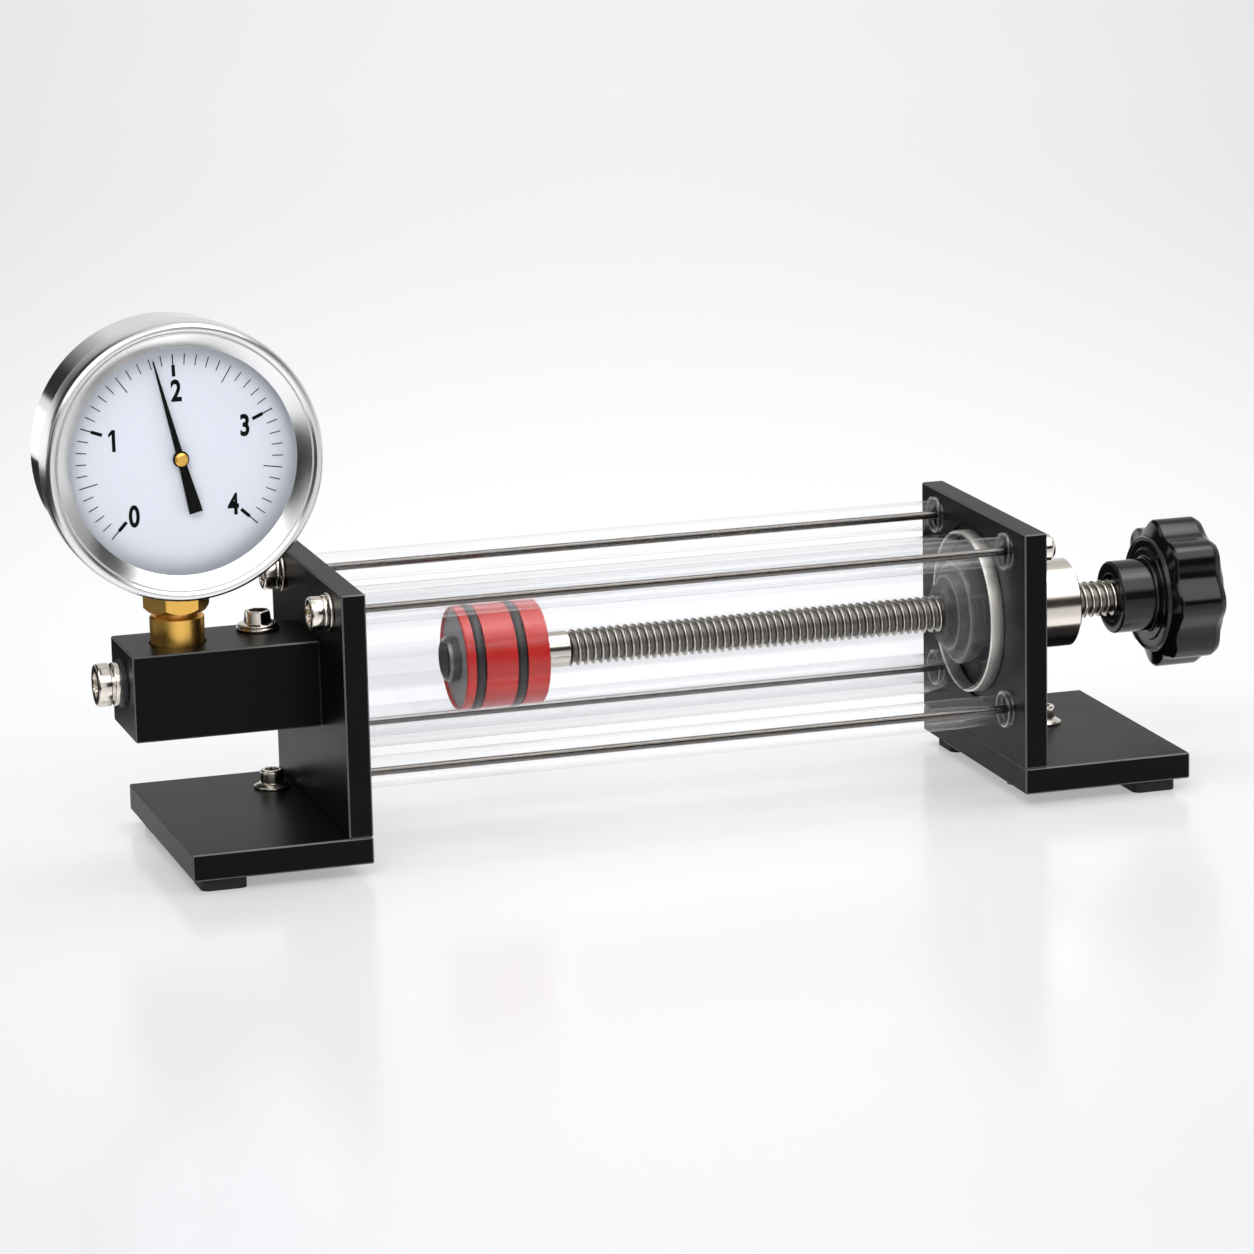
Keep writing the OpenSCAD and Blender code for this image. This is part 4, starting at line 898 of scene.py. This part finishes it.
class APPARATUS_OT_manifold(Piece, bpy.types.Operator):
    """Makes the end plug and the bleed screw of the block"""
    bl_idname = "apparatus.manifold"
    bl_label = "Plug and bleed screw"

    def make(self, scene):
        start = low("end_plug").x
        turn = Matrix.Rotation(pi, 4, "Y")
        head = screw_head([(0, 0), (8, 0, 0.4), (8, 5, 0.9), (0, 5)], 9.0, 3.5)
        collar = lathe([(0, 0), (6, 0), (6, 1.2), (8, 1.2, 0.3), (8, 3.7, 0.3), (5, 3.7),
                        (5, high("end_plug").x - start - 5), (0, high("end_plug").x - start - 5)])
        at = along_x(start + 5, 0, middle("end_plug").z)
        piece("plug", joined([(head, at @ turn), (collar, at)]), Matrix(), "nickel", "frame",
              ("end_plug",))
        dress("black_rubber", "plug_seal")
        self.bleed()

    def bleed(self):
        at = middle("bleed_screw")
        washer_t = high("bleed_washer").z - BLOCK_TOP
        head_top = high("bleed_screw").z - BLOCK_TOP - washer_t
        shank_low = low("bleed_screw").z - BLOCK_TOP - washer_t
        washer = ring(16, 6.4, washer_t, 0.45)
        piece("bleed_ring_washer", washer, upright_at(at.x, at.y, BLOCK_TOP), "nickel",
              "bleed_ring", ("bleed_washer",))
        flange = lathe([(0, 0), (7.5, 0, 0.3), (7.5, 1.0, 0.45), (5.6, 1.4, 0.4), (0, 1.5)])
        shank = lathe([(0, shank_low), (2.6, shank_low), (3.0, shank_low + 0.5), (3.0, 0.2),
                       (0, 0.2)], steps=48)
        head = self.hexagonal_head(5.5, 4.9, head_top - 1.35)
        bmesh.ops.translate(head, vec=(0, 0, 1.35), verts=head.verts)
        piece("bleed_screw_head", joined([(flange, Matrix()), (shank, Matrix()),
                                          (head, Matrix())]),
              upright_at(at.x, at.y, BLOCK_TOP + washer_t), "nickel", "bleed",
              ("bleed_screw",))

    def hexagonal_head(self, wide, narrow, tall):
        """A six-sided head, drawn in to its top, with a round socket."""
        bm = bmesh.new()
        bmesh.ops.create_circle(bm, segments=6, radius=wide, cap_ends=True)
        top = raised(bm, bm.faces[:][0], tall)
        bmesh.ops.scale(bm, vec=(narrow / wide, narrow / wide, 1), verts=top.verts)
        bevelled(bm, [e for e in bm.edges if abs(e.verts[0].co.z - e.verts[1].co.z) > 1], 0.5, 3)
        bm.faces.ensure_lookup_table()
        top = max(bm.faces, key=lambda f: f.calc_center_median().z)
        bevelled(bm, list(top.edges), 0.45, 3)
        bm.faces.ensure_lookup_table()
        top = max((f for f in bm.faces if abs(f.normal.z) > 0.9),
                  key=lambda f: f.calc_center_median().z)
        bmesh.ops.inset_region(bm, faces=[top], thickness=0.75, depth=0)
        socket = bmesh.ops.extrude_face_region(bm, geom=[top])["geom"]
        bmesh.ops.delete(bm, geom=[top], context="FACES")
        bmesh.ops.translate(bm, vec=(0, 0, -2.8), verts=verts_in(socket))
        outwards(bm)
        return bm


class APPARATUS_OT_cylinder(Piece, bpy.types.Operator):
    """Makes the clear tube, its rings and caps, and the sleeves of the tie rods"""
    bl_idname = "apparatus.cylinder"
    bl_label = "Cylinder"

    def make(self, scene):
        start, end = low("cylinder_tube"), high("cylinder_tube")
        bore = high("gas_end_cap").z - low("gas_end_cap").z + CLEARANCE
        piece("tube", ring(end.z - start.z, bore, end.x - start.x, 0.4, FINE),
              along_x(start.x), "clear_acrylic", "frame", ("cylinder_tube",))
        outer = high("tube_rings").z - low("tube_rings").z
        sunk = LEFT_FACE - low("tube_rings").x
        proud = 4.5
        parts = [(ring(outer, end.z - start.z + CLEARANCE, proud + sunk, 0.35, FINE), along_x(x))
                 for x in (LEFT_FACE - sunk, RIGHT_FACE - proud)]
        piece("seat_rings", joined(parts), Matrix(), "satin_steel", "frame",
              ("tube_rings",))
        dress("black_rubber", "tube_gaskets", "gas_cap_seal")
        dress("black_anodised", "gas_end_cap")
        dress("smoked_acrylic", "guide_cap")
        self.sleeves()

    def sleeves(self):
        sleeve = 2 * (high("rod_sleeves").z - UPPER_Z)
        collar = 2 * (high("sleeve_rings").z - UPPER_Z)
        collar_l = 2.5
        sleeves, collars = [], []
        for y in (-ROD_Y, ROD_Y):
            for z in (LOWER_Z, UPPER_Z):
                sleeves.append((ring(sleeve, ROD_D + CLEARANCE, RIGHT_FACE - LEFT_FACE, 0.3,
                                     64), along_x(LEFT_FACE, y, z)))
                for x in (LEFT_FACE, RIGHT_FACE - collar_l):
                    collars.append((ring(collar, sleeve + CLEARANCE, collar_l, 0.5, 64),
                                    along_x(x, y, z)))
        piece("sleeves", joined(sleeves), Matrix(), "clear_sleeve", "frame",
              ("rod_sleeves",))
        piece("sleeve_collars", joined(collars), Matrix(), "clear_collar", "frame",
              ("sleeve_rings",))


class APPARATUS_OT_piston(Piece, bpy.types.Operator):
    """Finishes the piston, its seals and the gland that joins it to the screw"""
    bl_idname = "apparatus.piston"
    bl_label = "Piston"

    def make(self, scene):
        dress("red_plastic", "piston_body")
        dress("black_rubber", "piston_seals")
        dress("grey_plastic", "piston_face_plate")
        dress("dark_grey_metal", "piston_boss")
        dress("nickel_turned", "swivel_gland")


class APPARATUS_OT_lead_screw(Piece, bpy.types.Operator):
    """Makes the lead screw with its thread, and the nut"""
    bl_idname = "apparatus.lead_screw"
    bl_label = "Lead screw"

    def make(self, scene):
        settings = scene.apparatus_screw
        start, end = low("lead_screw"), high("lead_screw")
        thread_from = high("swivel_gland").x + 0.5
        radius = (end.z - start.z) / 2
        thread = self.thread(radius, settings, end.x - thread_from)
        journal_l = thread_from - start.x
        journal = lathe([(0, 0), (5.5, 0, 0.4), (5.5, 2.0), (4.0, 2.0), (4.0, journal_l + 1),
                         (0, journal_l + 1)])
        piece("threaded_screw", joined([(thread, along_x(thread_from)),
                                        (journal, along_x(start.x))]),
              Matrix(), "screw_steel", "screw", ("lead_screw",))
        dress("nickel_turned", "screw_nut")

    def thread(self, radius, settings, length):
        """A rounded thread: its profile over one pitch, wound once, repeated and cut to length."""
        pitch, root = settings.pitch, radius - settings.depth
        bm = bmesh.new()
        profile = [(root, 0.0), (root, 0.34), (root + 0.12, 0.41), (root + 0.5, 0.455),
                   (radius - 0.42, 0.49), (radius - 0.12, 0.55), (radius, 0.64),
                   (radius - 0.12, 0.73), (radius - 0.42, 0.79), (root + 0.5, 0.825),
                   (root + 0.12, 0.87), (root, 0.94), (root, 1.0)]
        verts = [bm.verts.new((r, 0.0, h * pitch)) for r, h in profile]
        edges = [bm.edges.new(pair) for pair in zip(verts, verts[1:])]
        bmesh.ops.spin(bm, geom=verts + edges, cent=(0, 0, 0), axis=(0, 0, 1),
                       dvec=(0, 0, pitch / settings.steps), angle=2 * pi,
                       steps=settings.steps)
        turns = 1
        while turns < length / pitch + 3:
            made = bmesh.ops.duplicate(bm, geom=bm.verts[:] + bm.edges[:] + bm.faces[:])["geom"]
            bmesh.ops.translate(bm, vec=(0, 0, turns * pitch), verts=verts_in(made))
            turns *= 2
        merged(bm, 1e-3)
        bmesh.ops.translate(bm, vec=(0, 0, -1.5 * pitch), verts=bm.verts)
        for height, way in ((0.0, -1), (length, 1)):
            cut = bmesh.ops.bisect_plane(bm, geom=bm.verts[:] + bm.edges[:] + bm.faces[:],
                                         plane_co=(0, 0, height), plane_no=(0, 0, way),
                                         clear_outer=True)["geom_cut"]
            bmesh.ops.contextual_create(bm, geom=edges_in(cut))
        outwards(bm)
        return bm


class APPARATUS_OT_knob(Piece, bpy.types.Operator):
    """Makes the lobed knob with its hub, insert and grub screw"""
    bl_idname = "apparatus.knob"
    bl_label = "Knob"

    def make(self, scene):
        settings = scene.apparatus_knob
        hub_x = low("knob").x
        long = high("knob").x - hub_x
        wide = high("knob").z - AXIS_Z
        knob = self.lobed(settings, wide, long)
        piece("lobed_knob", knob, along_x(hub_x), "knob_plastic", "screw",
              ("knob",))
        dress("zinc_steel", "knob_insert", "knob_grub_screw")

    def lobed(self, settings, wide, long):
        """Hub, raised disc and rim turned as one, with hollows pressed in between the lobes."""
        hub_r, head, disc, bore = 14.0, settings.hub, 22.0, 9.1
        bm = lathe([(bore, 24.0), (bore, 0, 0.35), (hub_r, 0, 0.8), (hub_r, head - 1.5, 1.2),
                    (17.5, head - 1.5, 0.4), (17.9, head - 0.9, 0.4), (21.0, head - 0.9, 0.3),
                    (21.4, head - 1.5, 0.3), (disc, head - 1.5, 0.3), (disc + 0.3, head + 0.1, 0.5),
                    (wide - 1.0, head + 1.3, 0.3), (wide, head + 2.2, 1.0),
                    (wide, long - 4.6, 1.6), (wide - 1.6, long - 2.0, 1.4),
                    (wide - 6.0, long - 0.7, 3.0), (wide - 14.0, long, 5.0), (0, long)],
                   steps=256, rounding=5)
        for v in bm.verts:
            radius = v.co.to_2d().length
            if radius > disc + 0.5 and v.co.z > head - 0.5:
                turn = Vector((1, 0)).angle_signed(v.co.to_2d())
                reach = min(1.0, (radius - disc - 0.5) / (wide - disc - 3.0))
                hollow = (0.5 - 0.5 * cos(settings.lobes * turn)) ** 1.1
                v.co.xy *= 1 - settings.hollow * hollow * reach / radius
        return bm


class APPARATUS_OT_gauge(Piece, bpy.types.Operator):
    """Makes the case, the bezel and the window of the gauge, and its brass stem"""
    bl_idname = "apparatus.gauge"
    bl_label = "Gauge case"

    def make(self, scene):
        dress("polished_chrome", "gauge_case")
        self.bezel()
        dress("window_glass", "gauge_window")
        dress("black_rubber", "window_gasket")
        dress("zinc_steel", "case_screws")
        dress("brass", "gauge_socket", "gauge_stem")
        dress("copper_seal", "stem_seal")

    def bezel(self):
        """A rolled rim, a groove and a wide flare down to the window."""
        r = high("gauge_bezel").x - GAUGE_X
        deep = high("gauge_bezel").y - GAUGE_FRONT
        bm = lathe([(41.5, -4.5), (41.6, -4.3, 0.1), (r - 4.3, -0.7, 0.15), (r - 4.0, -1.2, 0.1),
                    (r - 3.7, -0.8, 0.15), (r - 2.7, -0.02, 0.9), (r - 1.2, -0.1, 1.2),
                    (r - 0.2, -1.5, 1.2), (r, -4.2, 2.0), (r, -deep + 1.0, 0.5),
                    (r - 0.8, -deep, 0.3), (r - 1.95, -deep), (r - 1.95, -4.5)],
                   closed=True, steps=192)
        piece("rolled_bezel", bm, on_dial(0), "bezel_steel", "frame",
              ("gauge_bezel",))


class APPARATUS_OT_movement(Piece, bpy.types.Operator):
    """Finishes the gauge's movement behind the dial"""
    bl_idname = "apparatus.movement"
    bl_label = "Movement"

    def make(self, scene):
        dress("brass_hub", "movement_front_plate", "movement_back_plate", "movement_pillars",
              "dial_spacers", "bourdon_tube", "tip_lug", "sector_gear", "link_rod")
        dress("spring_steel", "pinion_arbor", "hairspring")
        dress("zinc_steel", "movement_screws")


class APPARATUS_OT_dial(Piece, bpy.types.Operator):
    """Makes the dial with its marks and numbers, and the needle"""
    bl_idname = "apparatus.dial"
    bl_label = "Dial and needle"

    def make(self, scene):
        settings = scene.apparatus_dial
        dress("dial_white", "gauge_dial")
        depth = low("gauge_dial").y - GAUGE_FRONT
        self.marks(settings, depth)
        self.numbers(settings, depth)
        dress("needle_black", "needle")
        dress("brass_hub", "needle_hub")

    def bar(self, radius_out, radius_in, wide, turn):
        """A mark as a thin raised bar along a radius, turned clockwise from the top."""
        bm = bmesh.new()
        face = outline(bm, [(-wide / 2, radius_in), (wide / 2, radius_in),
                            (wide / 2, radius_out), (-wide / 2, radius_out)])
        raised(bm, face, INK)
        outwards(bm)
        return bm, Matrix.Rotation(-turn, 4, "Z")

    def marks(self, settings, depth):
        outer = settings.outer
        parts = []
        for step in range(41):
            turn = (step / 10 - 2) * settings.sweep + settings.turned
            if step % 10 == 0:
                parts.append(self.bar(outer, outer - 4.6, 0.42, turn))
                parts.append(self.bar(outer - 4.0, outer - 8.2, 1.25, turn))
            elif step % 5 == 0:
                parts.append(self.bar(outer, outer - 7.0, 0.36, turn))
            else:
                parts.append(self.bar(outer, outer - 4.0, 0.34, turn))
        piece("dial_marks", joined(parts), on_dial(depth), "dial_ink", "frame")

    def numbers(self, settings, depth):
        capital, narrowed = 0.70, 0.74
        parts = []
        for number in range(5):
            curve = bpy.data.curves.new("number", "FONT")
            curve.body = str(number)
            curve.size = settings.figure / capital
            curve.align_x, curve.align_y = "CENTER", "CENTER"
            curve.extrude = INK / 2
            curve.offset = 0.34
            text = bpy.data.objects.new("number", curve)
            mesh = bpy.data.meshes.new_from_object(text)
            bm = bmesh.new()
            bm.from_mesh(mesh)
            bpy.data.objects.remove(text)
            bpy.data.curves.remove(curve)
            bpy.data.meshes.remove(mesh)
            merged(bm)
            if number == 1:
                self.flag(bm)
            place = Matrix.Translation((*NUMBER_PLACES[number], INK / 2))
            parts.append((bm, place @ Matrix.Diagonal((narrowed, 1.0, 1.0, 1.0))))
        piece("dial_numbers", joined(parts), on_dial(depth), "dial_ink", "frame")

    def flag(self, bm):
        """The short stroke that leans down to the left from the top of the 1."""
        top = max(v.co.y for v in bm.verts)
        left = min(v.co.x for v in bm.verts)
        face = outline(bm, [(left + 0.1, top), (left + 0.1, top - 1.5), (left - 1.7, top - 2.7),
                            (left - 1.7, top - 1.5)])
        raised(bm, face, INK)


class APPARATUS_PT_panel(bpy.types.Panel):
    """Lists the pieces and their settings"""
    bl_label = "Apparatus"
    bl_idname = "APPARATUS_PT_panel"
    bl_space_type = "VIEW_3D"
    bl_region_type = "UI"
    bl_category = "Apparatus"

    def draw(self, context):
        for operator in OPERATORS:
            self.layout.operator(operator.bl_idname)
        for group in GROUPS:
            for key in GROUPS[group].__annotations__:
                self.layout.prop(getattr(context.scene, group), key)


GROUPS = {
    "apparatus_stage": StageSettings,
    "apparatus_looks": LookSettings,
    "apparatus_screw": ScrewSettings,
    "apparatus_knob": KnobSettings,
    "apparatus_dial": DialSettings,
}
OPERATORS = (
    APPARATUS_OT_stage, APPARATUS_OT_frame, APPARATUS_OT_fasteners, APPARATUS_OT_manifold,
    APPARATUS_OT_cylinder, APPARATUS_OT_piston, APPARATUS_OT_lead_screw, APPARATUS_OT_knob,
    APPARATUS_OT_gauge, APPARATUS_OT_movement, APPARATUS_OT_dial,
)


def register():
    for cls in (*GROUPS.values(), *OPERATORS, APPARATUS_PT_panel):
        bpy.utils.register_class(cls)
    for name, cls in GROUPS.items():
        setattr(bpy.types.Scene, name, PointerProperty(type=cls))


def unregister():
    for name in GROUPS:
        delattr(bpy.types.Scene, name)
    for cls in (APPARATUS_PT_panel, *reversed(OPERATORS), *reversed(GROUPS.values())):
        bpy.utils.unregister_class(cls)


def main():
    register()
    make_finishes(bpy.context.scene.apparatus_looks)
    for operator in OPERATORS:
        group, name = operator.bl_idname.split(".")
        getattr(getattr(bpy.ops, group), name)()


if __name__ == "__main__":
    main()
